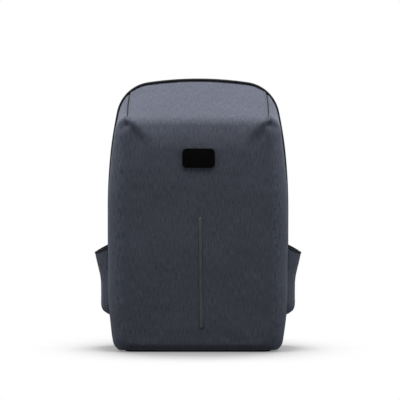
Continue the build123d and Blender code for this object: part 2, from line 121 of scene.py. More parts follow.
def right_half(inset, counts, base=None):
    """The right half of the arch from bottom centre to top centre, as (x, z) rows, in seven spans:
    sole, foot, low side, side, high side, corner and top. base is the sole's height."""
    na, nb, nc, nd, ne, nf, ng = counts
    base = inset if base is None else base
    lin = lambda a, b, n: np.linspace(a, b, n, endpoint=False)
    r = SHOULDER_R - inset
    high_a = math.asin((CORNER_Z - SIDE_C[1]) / (SIDE_R - inset))
    dart_a = math.acos(np.clip((DART_X - SHOULDER_C[0]) / r, -1, 1))
    sole = np.stack([FOOT_C[0] * lin(0, 1, na), np.full(na, base)], -1)
    foot = on_arc(FOOT_C, FOOT_R - inset, lin(-math.pi / 2, LOW_A, nb))
    low = on_arc(LOW_C, LOW_R - inset, lin(LOW_A, 0, nc))
    side = np.stack([np.full(nd, HALF - inset), lin(110, 230, nd)], -1)
    rise = on_arc(SIDE_C, SIDE_R - inset, lin(0, high_a, ne))
    corner_path = np.concatenate(
        [
            on_arc(SIDE_C, SIDE_R - inset, np.linspace(high_a, SIDE_A, 60)),
            on_arc(SHOULDER_C, r, np.linspace(SIDE_A, dart_a, 120))[1:],
        ]
    )
    f = 1 - clustered(nf, [0.0], 0.12, 3.5)[::-1][:-1] if nf > 8 else lin(0, 1, nf)
    corner = along(corner_path, f)
    x = DART_X * (1 - (clustered(ng, [0.0], 0.04, 3.5)[:-1] if ng > 8 else lin(0, 1, ng)))
    top = np.stack([x, top_height(x, inset)], -1)
    rows = np.concatenate([sole, foot, low, side, rise, corner, top, [[0, HEIGHT - inset]]])
    rows[:, 1] = np.maximum(rows[:, 1], base)
    return rows


def along(path, fractions):
    """Points at fractions of a polyline's length."""
    path = np.asarray(path, float)
    step = np.linalg.norm(np.diff(path, axis=0), axis=1)
    total = np.concatenate([[0], np.cumsum(step)])
    at = np.asarray(fractions, float) * total[-1]
    return np.stack([np.interp(at, total, path[:, k]) for k in range(path.shape[1])], -1)


def top_height(x, inset=0.0):
    """z of the arch at |x| up to DART_X."""
    x = np.abs(np.asarray(x, float))
    top_end = TOP_C[0] + (TOP_R - inset) * math.cos(TOP_A)
    r, rs = TOP_R - inset, SHOULDER_R - inset
    crown = TOP_C[1] + np.sqrt(np.maximum(r * r - x * x, 0))
    round_ = SHOULDER_C[1] + np.sqrt(np.maximum(rs * rs - (x - SHOULDER_C[0]) ** 2, 0))
    return np.where(x < top_end, crown, round_)


def closed_loop(half):
    """The whole outline from its right half: anticlockwise from bottom centre, in (x, z)."""
    left = half[1:-1][::-1] * np.array([-1, 1])
    return np.concatenate([half, left])


# ---------------------------------------------------------------- materials
def new_material(name):
    material = bpy.data.materials.new(name)
    material.use_nodes = True
    nodes, links = material.node_tree.nodes, material.node_tree.links
    shader = nodes["Principled BSDF"]
    return material, nodes, links, shader


def node(nodes, kind, **settings):
    made = nodes.new(kind)
    for key, value in settings.items():
        if key in ("operation", "blend_type", "data_type", "bands_direction", "wave_type",
                   "wave_profile", "distance", "feature", "uv_map", "attribute_name",
                   "noise_dimensions", "clamp", "invert", "voronoi_dimensions", "noise_type"):
            setattr(made, key, value)
        else:
            made.inputs[key.replace("_", " ")].default_value = value
    return made


def scaled(nodes, links, source, scale, offset=(0, 0, 0)):
    m = nodes.new("ShaderNodeMapping")
    m.inputs["Scale"].default_value = scale
    m.inputs["Location"].default_value = offset
    links.new(source, m.inputs["Vector"])
    return m.outputs["Vector"]


def math_node(nodes, links, operation, a, b=None, clamp=False):
    m = nodes.new("ShaderNodeMath")
    m.operation = operation
    m.use_clamp = clamp
    for socket, value in zip(m.inputs, (a, b)):
        if value is None:
            continue
        if isinstance(value, (int, float)):
            socket.default_value = value
        else:
            links.new(value, socket)
    return m.outputs[0]


def ramp(nodes, links, source, stops):
    r = nodes.new("ShaderNodeValToRGB")
    r.color_ramp.interpolation = "EASE"
    while len(r.color_ramp.elements) < len(stops):
        r.color_ramp.elements.new(0.5)
    for element, (position, colour) in zip(r.color_ramp.elements, stops):
        element.position = position
        element.color = (*colour, 1)
    links.new(source, r.inputs["Fac"])
    return r.outputs["Color"]


def relief_from(nodes, links, shader, height, strength, distance):
    """Bumps a shader's surface by a height socket."""
    b = node(nodes, "ShaderNodeBump", Strength=strength, Distance=distance)
    links.new(height, b.inputs["Height"])
    links.new(b.outputs["Normal"], shader.inputs["Normal"])


def set_inputs(shader, **values):
    for key, value in values.items():
        shader.inputs[key.replace("_", " ")].default_value = value


def woven(name, dark, light, yarn=0.55, slub=1.0, roughness=0.85, sheen=0.25, relief=0.35,
          sheen_tint=(0.8, 0.85, 1.0), blotch=0.1, contrast=0.24):
    """Plain woven cloth. It reads the piece's "cloth" map, in mm across and along the cloth."""
    material, nodes, links, shader = new_material(name)
    calc = partial(math_node, nodes, links)
    cloth = nodes.new("ShaderNodeUVMap")
    cloth.uv_map = "cloth"
    uv = cloth.outputs["UV"]
    # Heather: streaks of lighter and darker yarn, long along the warp.
    streak = node(nodes, "ShaderNodeTexNoise", Scale=1.0, Detail=3.0, Roughness=0.65)
    links.new(scaled(nodes, links, uv, (0.62, 0.075, 1)), streak.inputs["Vector"])
    fleck = node(nodes, "ShaderNodeTexNoise", Scale=1.0, Detail=2.0, Roughness=0.6)
    links.new(scaled(nodes, links, uv, (0.32, 0.9, 1), (31, 7, 0)), fleck.inputs["Vector"])
    broad = node(nodes, "ShaderNodeTexNoise", Scale=1.0, Detail=3.0, Roughness=0.5)
    links.new(scaled(nodes, links, uv, (0.02, 0.012, 1), (3, 17, 0)), broad.inputs["Vector"])
    # The weave itself: warp over weft, each yarn as wide as yarn says.
    k = math.pi / yarn
    cells = []
    for axis in (0, 1):
        split = nodes.new("ShaderNodeSeparateXYZ")
        links.new(uv, split.inputs[0])
        cells.append(split.outputs[axis])
    u = calc("SINE", calc("MULTIPLY", cells[0], k))
    v = calc("SINE", calc("MULTIPLY", cells[1], k))
    checker = calc("MULTIPLY", u, v)
    over = calc("MULTIPLY_ADD", checker, 0.5)
    nodes[over.node.name].inputs[2].default_value = 0.5
    mix1 = calc("MULTIPLY", streak.outputs["Fac"], 0.62 * slub)
    mix2 = calc("MULTIPLY", fleck.outputs["Fac"], 0.38 * slub)
    tone = calc("ADD", mix1, mix2)
    tone = calc("ADD", tone, calc(
        "MULTIPLY", calc("SUBTRACT", over, 0.5), 0.10))
    tone = calc("ADD", tone, calc(
        "MULTIPLY", calc("SUBTRACT", broad.outputs["Fac"], 0.5),
        blotch))
    mean = 0.5 * slub
    colour = ramp(nodes, links, tone, [
        (max(mean - contrast, 0), dark),
        (mean, tuple((a + b) / 2 for a, b in zip(dark, light))),
        (mean + contrast, light)])
    links.new(colour, shader.inputs["Base Color"])
    set_inputs(shader, Roughness=roughness, Sheen_Weight=sheen, Sheen_Roughness=0.5,
               Sheen_Tint=(*sheen_tint, 1), Specular_IOR_Level=0.25)
    height = calc("ADD", calc("MULTIPLY", over, 0.6),
                       calc("MULTIPLY", tone, 0.8))
    relief_from(nodes, links, shader, height, relief, 0.0004)
    return material


def moulded(name, colour, roughness=0.5, grain=0.15, specular=0.5, metallic=0.0, coat=0.0,
            scale=900.0, vary=0.3):
    """Moulded plastic, rubber or cast metal with a fine texture and slight wear."""
    material, nodes, links, shader = new_material(name)
    calc = partial(math_node, nodes, links)
    where = nodes.new("ShaderNodeTexCoord")
    fine = node(nodes, "ShaderNodeTexNoise", Scale=scale, Detail=4.0, Roughness=0.6)
    broad = node(nodes, "ShaderNodeTexNoise", Scale=40.0, Detail=3.0, Roughness=0.6)
    for n in (fine, broad):
        links.new(where.outputs["Object"], n.inputs["Vector"])
    light = tuple(min(c * (1 + vary), 1) for c in colour)
    dark = tuple(c * (1 - vary) for c in colour)
    links.new(ramp(nodes, links, broad.outputs["Fac"], [(0.3, dark), (0.7, light)]),
              shader.inputs["Base Color"])
    rough = calc("MULTIPLY_ADD", fine.outputs["Fac"], 0.22, clamp=True)
    rough.node.inputs[2].default_value = roughness - 0.11
    links.new(rough, shader.inputs["Roughness"])
    set_inputs(shader, Metallic=metallic, Specular_IOR_Level=specular, Coat_Weight=coat)
    relief_from(nodes, links, shader, fine.outputs["Fac"], grain, 0.0002)
    return material


HEATHER = woven("heather_cloth", (0.036, 0.041, 0.057), (0.136, 0.145, 0.186), slub=1.0,
                contrast=0.19)
LINING = woven("lining_cloth", (0.010, 0.010, 0.012), (0.030, 0.030, 0.034), yarn=0.4, slub=0.8,
               roughness=0.7, sheen=0.15, relief=0.25)
BINDING = woven("binding_tape", (0.006, 0.006, 0.007), (0.018, 0.018, 0.020), yarn=0.7, slub=0.7,
                roughness=0.75, sheen=0.1, relief=0.6)
WEBBING = woven("webbing", (0.010, 0.010, 0.011), (0.032, 0.032, 0.035), yarn=1.1, slub=0.6,
                roughness=0.7, sheen=0.15, relief=1.0)
THREAD = woven("thread", (0.02, 0.02, 0.023), (0.06, 0.06, 0.066), yarn=0.25, slub=0.6)
GREY_THREAD = woven("grey_thread", (0.05, 0.052, 0.062), (0.12, 0.125, 0.15), yarn=0.25, slub=0.6)
COIL = moulded("zip_coil", (0.012, 0.012, 0.013), roughness=0.42, grain=0.1)
PLASTIC = moulded("black_plastic", (0.014, 0.014, 0.015), roughness=0.5, grain=0.3)
RUBBER = moulded("rubber", (0.016, 0.016, 0.016), roughness=0.72, grain=0.35, specular=0.3)
GLOSS = moulded("gloss_black", (0.0012, 0.0012, 0.0014), roughness=0.3, grain=0.03, vary=0.1,
                specular=0.12)
METAL = moulded("black_zinc", (0.035, 0.035, 0.038), roughness=0.34, metallic=0.9, grain=0.08)


def mesh_cloth(name, dark, light, pitch=3.2):
    """Spacer mesh: rows of small round holes over a darker ground."""
    material, nodes, links, shader = new_material(name)
    calc = partial(math_node, nodes, links)
    cloth = nodes.new("ShaderNodeUVMap")
    cloth.uv_map = "cloth"
    holes = node(nodes, "ShaderNodeTexVoronoi", Scale=1.0, Randomness=0.12)
    links.new(scaled(nodes, links, cloth.outputs["UV"], (1 / pitch, 1 / (pitch * 0.8), 1)),
              holes.inputs["Vector"])
    fuzz = node(nodes, "ShaderNodeTexNoise", Scale=1.0, Detail=3.0)
    links.new(scaled(nodes, links, cloth.outputs["UV"], (1.4, 1.4, 1)), fuzz.inputs["Vector"])
    d = calc("ADD", holes.outputs["Distance"],
                  calc("MULTIPLY", fuzz.outputs["Fac"], 0.12))
    links.new(ramp(nodes, links, d, [(0.20, dark), (0.42, light)]), shader.inputs["Base Color"])
    set_inputs(shader, Roughness=0.85, Sheen_Weight=0.2, Sheen_Roughness=0.5, Specular_IOR_Level=0.25)
    pits = ramp(nodes, links, d, [(0.15, (0, 0, 0)), (0.45, (1, 1, 1))])
    relief_from(nodes, links, shader, pits, 0.9, 0.0009)
    return material


AIR_MESH = mesh_cloth("air_mesh", (0.006, 0.006, 0.007), (0.040, 0.041, 0.046))


# ---------------------------------------------------------------- mesh helpers
def turn_outward(mesh):
    bm = bmesh.new()
    bm.from_mesh(mesh)
    bmesh.ops.recalc_face_normals(bm, faces=bm.faces)
    bm.to_mesh(mesh)
    bm.free()


def piece(name, verts, faces, materials, cloth=None, smooth_faces=True):
    """A mesh from points in mm. cloth holds (across, along) in mm for each point."""
    mesh = bpy.data.meshes.new(name)
    verts = np.asarray(verts, float)
    mesh.from_pydata((verts * MM).tolist(), [], [list(map(int, f)) for f in faces])
    obj = bpy.data.objects.new(name, mesh)
    bpy.context.scene.collection.objects.link(obj)
    for m in materials if isinstance(materials, (list, tuple)) else [materials]:
        mesh.materials.append(m)
    mesh.polygons.foreach_set("use_smooth", [smooth_faces] * len(mesh.polygons))
    if cloth is not None:
        layer = mesh.uv_layers.new(name="cloth")
        index = np.zeros(len(mesh.loops), int)
        mesh.loops.foreach_get("vertex_index", index)
        layer.data.foreach_set("uv", np.asarray(cloth, float)[index].ravel())
    turn_outward(mesh)
    return obj


def grid_faces(rows, columns, wrap_columns=False, start=0):
    """Quads over a grid of points stored row by row."""
    out = []
    for a in range(rows - 1):
        b = a + 1
        for c in range(columns if wrap_columns else columns - 1):
            d = (c + 1) % columns
            out.append((start + a * columns + c, start + b * columns + c,
                        start + b * columns + d, start + a * columns + d))
    return out


def thicken(obj, thickness, offset):
    """Gives a surface a thickness in mm."""
    m = obj.modifiers.new("solidify", "SOLIDIFY")
    m.thickness = thickness * MM
    m.offset = offset


def apply_modifiers(obj):
    bpy.context.view_layer.update()
    mesh = bpy.data.meshes.new_from_object(
        obj.evaluated_get(bpy.context.evaluated_depsgraph_get()))
    obj.modifiers.clear()
    obj.data = mesh
    return obj


def arc_length(points):
    step = np.linalg.norm(np.diff(points, axis=0), axis=1)
    return np.concatenate([[0], np.cumsum(step)])


def fbm(points, scale, seed, octaves=3):
    """Smooth noise in about -1 to 1 at each point, in mm."""
    out = np.zeros(len(points))
    for i, p in enumerate(points):
        v = Vector((p[0] / scale + seed, p[1] / scale - seed, p[2] / scale + 2 * seed))
        out[i] = noise.fractal(v, 1.0, 2.0, octaves)
    return out


# ---------------------------------------------------------------- paths and sweeps
def arch_path(z_low, spacing, z_high=None):
    """Points and outward normals along the arch at inset 0, from z_low on the right over the top
    to z_low on the left, or only up to z_high on the right."""
    half = right_half(0.0, (40, 80, 90, 60, 90, 90, 160))
    half = half[40:]
    z = half[:, 1]
    z_end = z[-1] if z_high is None else z_high
    zs = np.unique(np.concatenate([[z_low], z[(z > z_low) & (z < z_end)], [z_end]]))
    side = np.stack([np.interp(zs, z, half[:, 0]), zs], -1)
    if z_high is None:
        side[-1, 0] = 0.0
        side = np.concatenate([side, side[:-1][::-1] * [-1, 1]])
    length = arc_length(side)
    n = max(int(round(length[-1] / spacing)), 2)
    pts = along(side, np.linspace(0, 1, n + 1))
    tangent = np.gradient(pts, axis=0)
    tangent /= np.linalg.norm(tangent, axis=1)[:, None]
    return pts, np.stack([tangent[:, 1], -tangent[:, 0]], -1), arc_length(pts)


def sweep_arch(name, path, profile, material):
    """A closed profile of (inset, y) rows swept along a path from arch_path."""
    pts, normals, length = path
    profile = np.asarray(profile, float)
    k, n = len(profile), len(pts)
    xz = pts[:, None, :] - normals[:, None, :] * profile[None, :, :1]
    verts = np.stack([xz[..., 0], np.broadcast_to(profile[None, :, 1], (n, k)), xz[..., 1]], -1)
    girth = arc_length(np.concatenate([profile, profile[:1]]))[:-1]
    cloth = np.stack(np.broadcast_arrays(girth[None, :], length[:, None]), -1)
    return swept_piece(name, verts, material, cloth)


def spline(points, n):
    """A natural cubic through points, at n even steps of chord length."""
    p = np.asarray(points, float)
    t = arc_length(p)
    h = np.diff(t)
    k = len(p)
    a = np.eye(k)
    rhs = np.zeros_like(p)
    for i in range(1, k - 1):
        a[i, i - 1], a[i, i], a[i, i + 1] = h[i - 1], 2 * (h[i - 1] + h[i]), h[i]
        rhs[i] = 6 * ((p[i + 1] - p[i]) / h[i] - (p[i] - p[i - 1]) / h[i - 1])
    m = np.linalg.solve(a, rhs)
    out = []
    for q in np.linspace(0, t[-1], n):
        i = min(np.searchsorted(t, q, side="right") - 1, k - 2)
        u, w = q - t[i], t[i + 1] - q
        out.append((m[i] * w**3 + m[i + 1] * u**3) / (6 * h[i])
                   + (p[i] / h[i] - m[i] * h[i] / 6) * w + (p[i + 1] / h[i] - m[i + 1] * h[i] / 6) * u)
    return np.array(out)


def unit(v):
    v = np.asarray(v, float)
    return v / np.maximum(np.linalg.norm(v, axis=-1, keepdims=True), 1e-9)


def swept_frame(path, normal=None):
    """A path with its normals squared to it, and the directions across it. Without a normal it
    takes z, or y for an upright path."""
    path = np.asarray(path, float)
    tangent = unit(np.gradient(path, axis=0))
    if normal is None:
        normal = (0, 0, 1) if abs(tangent[:, 2]).mean() < 0.8 else (0, 1, 0)
    normal = np.broadcast_to(np.asarray(normal, float), path.shape)
    normal = unit(normal - (normal * tangent).sum(1)[:, None] * tangent)
    return path, normal, np.cross(tangent, normal)


def swept_piece(name, verts, material, cloth):
    """A closed skin over (n, k) points: n rings of k, capped at both ends."""
    n, k = verts.shape[:2]
    faces = grid_faces(n, k, wrap_columns=True)
    faces += [tuple(range(k)), tuple(range((n - 1) * k, n * k))[::-1]]
    return piece(name, verts.reshape(-1, 3), faces, material, cloth.reshape(-1, 2))


def ribbon(name, path, normal, width, thickness, material):
    """Webbing or tape along a 3-D path. normal is its face's direction at each point, or one for
    all. Its edges are round."""
    path, normal, across = swept_frame(path, normal)
    n = len(path)
    width = np.broadcast_to(np.asarray(width, float), (n,))
    thickness = np.broadcast_to(np.asarray(thickness, float), (n,))
    a = np.array([-1, -0.97, -0.8, -0.4, 0, 0.4, 0.8, 0.97, 1, 0.97, 0.8, 0.4, 0, -0.4, -0.8, -0.97])
    b = np.array([0, .8, 1, 1, 1, 1, 1, .8, 0, -.8, -1, -1, -1, -1, -1, -.8], float)
    k = len(a)
    verts = (path[:, None, :] + across[:, None, :] * (a[None, :, None] * width[:, None, None] / 2)
             + normal[:, None, :] * (b[None, :, None] * thickness[:, None, None] / 2))
    s = arc_length(path)
    cloth = np.stack([np.broadcast_to(a[None, :], (n, k)) * width[:, None] / 2,
                      np.broadcast_to(s[:, None], (n, k))], -1)
    return swept_piece(name, verts, material, cloth)


def tube(name, path, radius, material, sides=8, squash=1.0, normal=None):
    """A round cord of one radius, or an oval one whose short axis is normal."""
    path, normal, across = swept_frame(path, normal)
    n = len(path)
    a = np.linspace(0, 2 * math.pi, sides, endpoint=False)
    r = np.broadcast_to(np.asarray(radius, float), (n,))
    verts = (path[:, None, :] + across[:, None, :] * (np.cos(a)[None, :, None] * r[:, None, None])
             + normal[:, None, :] * (np.sin(a)[None, :, None] * r[:, None, None] * squash))
    s = arc_length(path)
    cloth = np.stack(np.broadcast_arrays(a[None, :] * r.mean(), s[:, None]), -1)
    return swept_piece(name, verts, material, cloth)


def stitches(name, runs, material, pitch=3.4, length=2.3, radius=0.32):
    """Rows of stitches. Each run is (path, normal): short round threads laid on the cloth."""
    verts, faces, cloth = [], [], []
    ring = 5
    for path, normal in runs:
        path = np.asarray(path, float)
        normal = np.broadcast_to(np.asarray(normal, float), path.shape)
        s = arc_length(path)
        count = int((s[-1] - length) // pitch)
        for i in range(max(count, 0) + 1):
            at = i * pitch
            qs = at + np.array([0, 0.12, 0.5, 0.88, 1]) * length
            if qs[-1] > s[-1]:
                break
            p = np.stack([np.interp(qs, s, path[:, k]) for k in range(3)], -1)
            nn = unit(np.stack([np.interp(qs, s, normal[:, k]) for k in range(3)], -1))
            t = unit(p[-1] - p[0])
            across = unit(np.cross(t, nn))
            lift = np.array([-0.25, 0.0, 0.22, 0.0, -0.25]) * radius * 2
            size = np.array([0.45, 0.9, 1, 0.9, 0.45]) * radius
            base = len(verts)
            for j in range(5):
                for a in np.linspace(0, 2 * math.pi, ring, endpoint=False):
                    verts.append(p[j] + nn[j] * lift[j]
                                 + (across[j] * math.cos(a) + nn[j] * math.sin(a)) * size[j])
                    cloth.append((a * radius, qs[j]))
            faces += grid_faces(5, ring, wrap_columns=True, start=base)
            faces += [tuple(range(base, base + ring))[::-1],
                      tuple(range(base + 4 * ring, base + 5 * ring))]
    return piece(name, verts, faces, material, cloth)


def dressed(obj, body, slot, *nodes):
    """Rides on a body and stands for CAD nodes. slot is not used."""
    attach(obj, body)
    if nodes:
        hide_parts(*nodes)
    return obj


def mirrored(obj, name):
    """A copy of a piece on the bag's other side."""
    copy = obj.copy()
    copy.data = obj.data.copy()
    copy.name = name
    co = np.zeros(len(copy.data.vertices) * 3)
    copy.data.vertices.foreach_get("co", co)
    co[0::3] *= -1
    copy.data.vertices.foreach_set("co", co)
    copy.data.flip_normals()
    bpy.context.scene.collection.objects.link(copy)
    return copy


def both(make, name, body, slot, *nodes):
    """Makes a right piece and its left twin. Names and bodies that start with SIDE_ get a side."""
    right = make("right_" + name)
    left = mirrored(right, "left_" + name)
    for side, obj in (("right", right), ("left", left)):
        dressed(obj, body.replace("SIDE", side), slot, *[n.replace("SIDE", side) for n in nodes])
    return right, left


# ---------------------------------------------------------------- front shell
COUNTS = (49, 10, 20, 30, 36, 16, 46)
NA, NB, NC, ND, NE, NF, NG = COUNTS
CREASE_LOW_X, CREASE_LOW_Z = 74.0, 340.0


def crease_height(x):
    """Height at which the front starts to lean back towards the ridge."""
    a = np.abs(np.asarray(x, float))
    t = np.clip((a - CREASE_LOW_X) / (DART_X - CREASE_LOW_X), 0, 1)
    return CREASE_LOW_Z + (RIDGE_Z + 1 - CREASE_LOW_Z) * t**1.1 - 6 * (1 - t)


def front_y(x, z, inset=FABRIC_IN):
    """y of the front cloth at (x, z)."""
    x, z = np.asarray(x, float), np.asarray(z, float)
    y = FRONT_LOW_Y - FRONT_LEAN * z / RIDGE_Z + inset
    above = np.maximum(z - crease_height(x), 0)
    y = y + 8.0 * (above / 46.0) ** 1.7
    y = y + 6.0 * np.clip(np.abs(x) / 140, 0, 1.1) ** 3
    y = y + 0.8 * np.sin(z / 61.0 + 0.6) * (1 - np.exp(-((x / 60) ** 2))) * 0.5
    return y


def front_ring(inset):
    """Where the side and front cloths would meet if their edge were sharp, in (x, z)."""
    half = right_half(inset, COUNTS)
    n0 = NA + NB + NC + ND + NE
    out = half.copy()
    scale = smooth(0, 120, half[:n0, 0])
    out[:n0, 0] -= 1.5 * scale
    f = 1 - clustered(NF, [0.0], 0.12, 3.5)[::-1]
    a = f * math.pi / 2
    cx, cz = DART_X, CORNER_Z
    rx = half[n0, 0] - 1.5 - cx
    out[n0:n0 + NF, 0] = cx + rx * np.cos(a[:-1])
    out[n0:n0 + NF, 1] = cz + (RIDGE_Z - cz - (inset - FABRIC_IN)) * np.sin(a[:-1])
    out[n0 + NF:, 1] = RIDGE_Z - (inset - FABRIC_IN)
    return out


def ring_radius(inset):
    """The edge's rounding along the half outline."""
    r = np.concatenate([
        np.full(NA, 12.0), np.linspace(12, 20, NB), np.linspace(20, 30, NC), np.full(ND, 30.0),
        np.linspace(30, 27, NE), np.linspace(27, 11, NF), np.full(NG, 10.0), [10.0]])
    kernel = np.hanning(15)
    r = np.convolve(np.pad(r, 7, mode="edge"), kernel / kernel.sum(), mode="valid")
    return np.maximum(r - (inset - FABRIC_IN), 4)


def normals_in(loop):
    """Unit vectors into a closed (x, z) loop."""
    t = np.roll(loop, -1, 0) - np.roll(loop, 1, 0)
    t /= np.linalg.norm(t, axis=1)[:, None]
    return np.stack([-t[:, 1], t[:, 0]], -1)


def fill_panel(loop, corners):
    """An inner grid over a closed loop split at four corner indices, by transfinite mapping.
    Returns the grid of points, with the loop's own points on its border."""
    c0, c1, c2, c3 = corners      # bottom right, top right, top left, bottom left
    n = len(loop)
    take = lambda a, b: loop[[i % n for i in range(a, b + 1 if b > a else b + n + 1)]]
    right, top = take(c0, c1), take(c1, c2)
    left, bottom = take(c2, c3)[::-1], take(c3, c0)
    top = top[::-1]
    s = np.linspace(0, 1, len(right))[:, None, None]
    q = bottom[:, 0] - bottom[0, 0]
    q2 = top[:, 0] - top[0, 0]
    t = ((q / q[-1])[None, :] * (1 - s[:, :, 0]) + (q2 / q2[-1])[None, :] * s[:, :, 0])[:, :, None]
    p = right[:, 1] - right[0, 1]
    s = (p / p[-1])[:, None, None]
    L, R = left[:, None, :], right[:, None, :]
    B, T = bottom[None, :, :], top[None, :, :]
    blc, brc, tlc, trc = bottom[0], bottom[-1], top[0], top[-1]
    return (1 - t) * L + t * R + (1 - s) * B + s * T - (
        (1 - t) * (1 - s) * blc + t * (1 - s) * brc + (1 - t) * s * tlc + t * s * trc)


def close_loop(verts, faces, base, n, corners, height):
    """Fills the loop of n points that starts at verts[base] with a grid of quads. height(x, z)
    gives the y of its inner points. Adds to faces and returns all the points."""
    flat = fill_panel(verts[base:base + n][:, [0, 2]], corners)
    rows, cols = flat.shape[:2]
    c0, c1, _, c3 = corners
    index = -np.ones((rows, cols), int)
    for i in range(rows):
        index[i, cols - 1] = base + (c0 + i) % n
        index[i, 0] = base + (c3 - i) % n
    for j in range(cols):
        index[rows - 1, cols - 1 - j] = base + (c1 + j) % n
        index[0, j] = base + (c3 + j) % n
    inner = flat[1:-1, 1:-1].reshape(-1, 2)
    index[1:-1, 1:-1] = len(verts) + np.arange(len(inner)).reshape(rows - 2, cols - 2)
    extra = np.stack([inner[:, 0], height(inner[:, 0], inner[:, 1]), inner[:, 1]], -1)
    turn = -1 if base else 1
    for i in range(rows - 1):
        for j in range(cols - 1):
            quad = (index[i, j], index[i, j + 1], index[i + 1, j + 1], index[i + 1, j])
            faces.append(quad[::turn])
    return np.concatenate([verts, extra])


def turn_corners(loop, n):
    """Gives a loop's foot and shoulder corners a clean small curve, where an inset would fold."""
    side_end = NA + NB + NC + ND + NE
    for first, last, keep_x in ((NA - 9, NA + NB + 4, 1), (side_end - 8, side_end + NF + 3, 0)):
        a, b = loop[first].copy(), loop[last].copy()
        middle = np.array([b[0], 0, a[2]]) if keep_x else np.array([a[0], 0, b[2]])
        t = np.linspace(0, 1, 40)[:, None]
        curve = along((1 - t) ** 2 * a + 2 * t * (1 - t) * middle + t * t * b,
                      np.linspace(0, 1, last - first + 1))
        for k, point in enumerate(curve):
            loop[first + k, [0, 2]] = point[[0, 2]]
            loop[n - first - k, [0, 2]] = point[[0, 2]] * [-1, 1]


def swelling(amount):
    """How far the cloth stands proud of the bound edge, along the half outline."""
    foot = np.linspace(-90, 0, NB, endpoint=False)
    rise = amount * smooth(-92, -52, foot) + 0.3 * np.sin(np.radians(-2 * foot))
    corner = amount * (1 - smooth(0, 1, np.linspace(0.25, 0.9, NE + NF)))
    return np.concatenate([np.zeros(NA), rise, np.full(NC + ND, amount), corner,
                           np.full(NG + 1, corner[-1])])


def shell_surface(inset, side_rows=20, edge_rows=9, swell=0.0):
    """The front shell as rings from the rear rim to the front edge, then a filled panel.
    Returns the points and the faces."""
    rear = closed_loop(right_half(inset, COUNTS))
    sharp = closed_loop(front_ring(inset))
    radius_half = ring_radius(inset)
    radius = np.concatenate([radius_half, radius_half[1:-1][::-1]])
    n = len(rear)
    out = -normals_in(rear)
    half_swell = swelling(swell) if swell else np.zeros(n // 2 + 1)
    proud = np.concatenate([half_swell, half_swell[1:-1][::-1]])[:, None] * out
    sharp = sharp + proud
    proud = np.stack([proud[:, 0], np.zeros(n), proud[:, 1]], -1)
    R = np.stack([rear[:, 0], np.full(n, REAR_Y - 1.0), rear[:, 1]], -1)
    C = np.stack([sharp[:, 0], front_y(sharp[:, 0], sharp[:, 1], inset), sharp[:, 1]], -1)
    inward = normals_in(sharp)
    kernel = np.array([1, 2, 3, 2, 1]) / 9
    for k in range(2):
        inward[:, k] = np.convolve(np.pad(inward[:, k], 2, mode="wrap"), kernel, mode="valid")
    inward /= np.linalg.norm(inward, axis=1)[:, None]
    step = sharp + inward * 2.0
    dy = (front_y(step[:, 0], step[:, 1], inset) - C[:, 1]) / 2.0
    d2 = np.stack([inward[:, 0], dy, inward[:, 1]], -1)
    d2 /= np.linalg.norm(d2, axis=1)[:, None]
    d1 = R - C
    d1 /= np.linalg.norm(d1, axis=1)[:, None]
    A = C + d1 * radius[:, None]
    E = C + d2 * radius[:, None]
    turn_corners(E, n)
    E[:, 1] = front_y(E[:, 0], E[:, 2], inset)
    rings = []
    for v in np.linspace(0, 1, side_rows, endpoint=False):
        early = 1 - (1 - v) ** 3
        rings.append(R * (1 - v) + A * v + proud * (early - v))
    half_angle = np.arccos(np.clip((d1 * d2).sum(1), -1, 1)) / 2
    w = np.sin(half_angle)[:, None]
    for q in np.linspace(0, 1, edge_rows):
        top = (1 - q) ** 2 * A + 2 * w * q * (1 - q) * C + q * q * E
        rings.append(top / ((1 - q) ** 2 + 2 * w * q * (1 - q) + q * q))
    rings = np.array(rings)
    m = len(rings)
    corner_low, corner_high = NA + NB // 2, NA + NB + NC + ND + NE + NF // 2
    corners = (corner_low, corner_high, n - corner_high, n - corner_low)
    verts = rings.reshape(-1, 3)
    faces = grid_faces(m, n, wrap_columns=True)
    verts = close_loop(verts, faces, (m - 1) * n, n, corners, lambda x, z: front_y(x, z, inset))
    return verts, faces


def shell_cloth(verts):
    """Cloth coordinates in mm: x across the front and the slope, turning to y round the sides."""
    x, y, z = verts[:, 0], verts[:, 1], verts[:, 2]
    slope_len = (y + 84) * 0.9
    side = smooth(112, 124, np.abs(x))
    across = x * (1 - side) + (np.sign(x) * (120 + (y + 85))) * side
    lift = smooth(376, 388, z) * (1 - side)
    down = z + slope_len * lift
    return np.stack([across, down], -1)


def vertex_normals(verts, faces):
    quads = np.array([f for f in faces if len(f) == 4])
    a, b, c, d = (verts[quads[:, k]] for k in range(4))
    nf = np.cross(c - a, d - b)
    out = np.zeros_like(verts)
    for k in range(4):
        np.add.at(out, quads[:, k], nf)
    return out / np.maximum(np.linalg.norm(out, axis=1), 1e-9)[:, None]


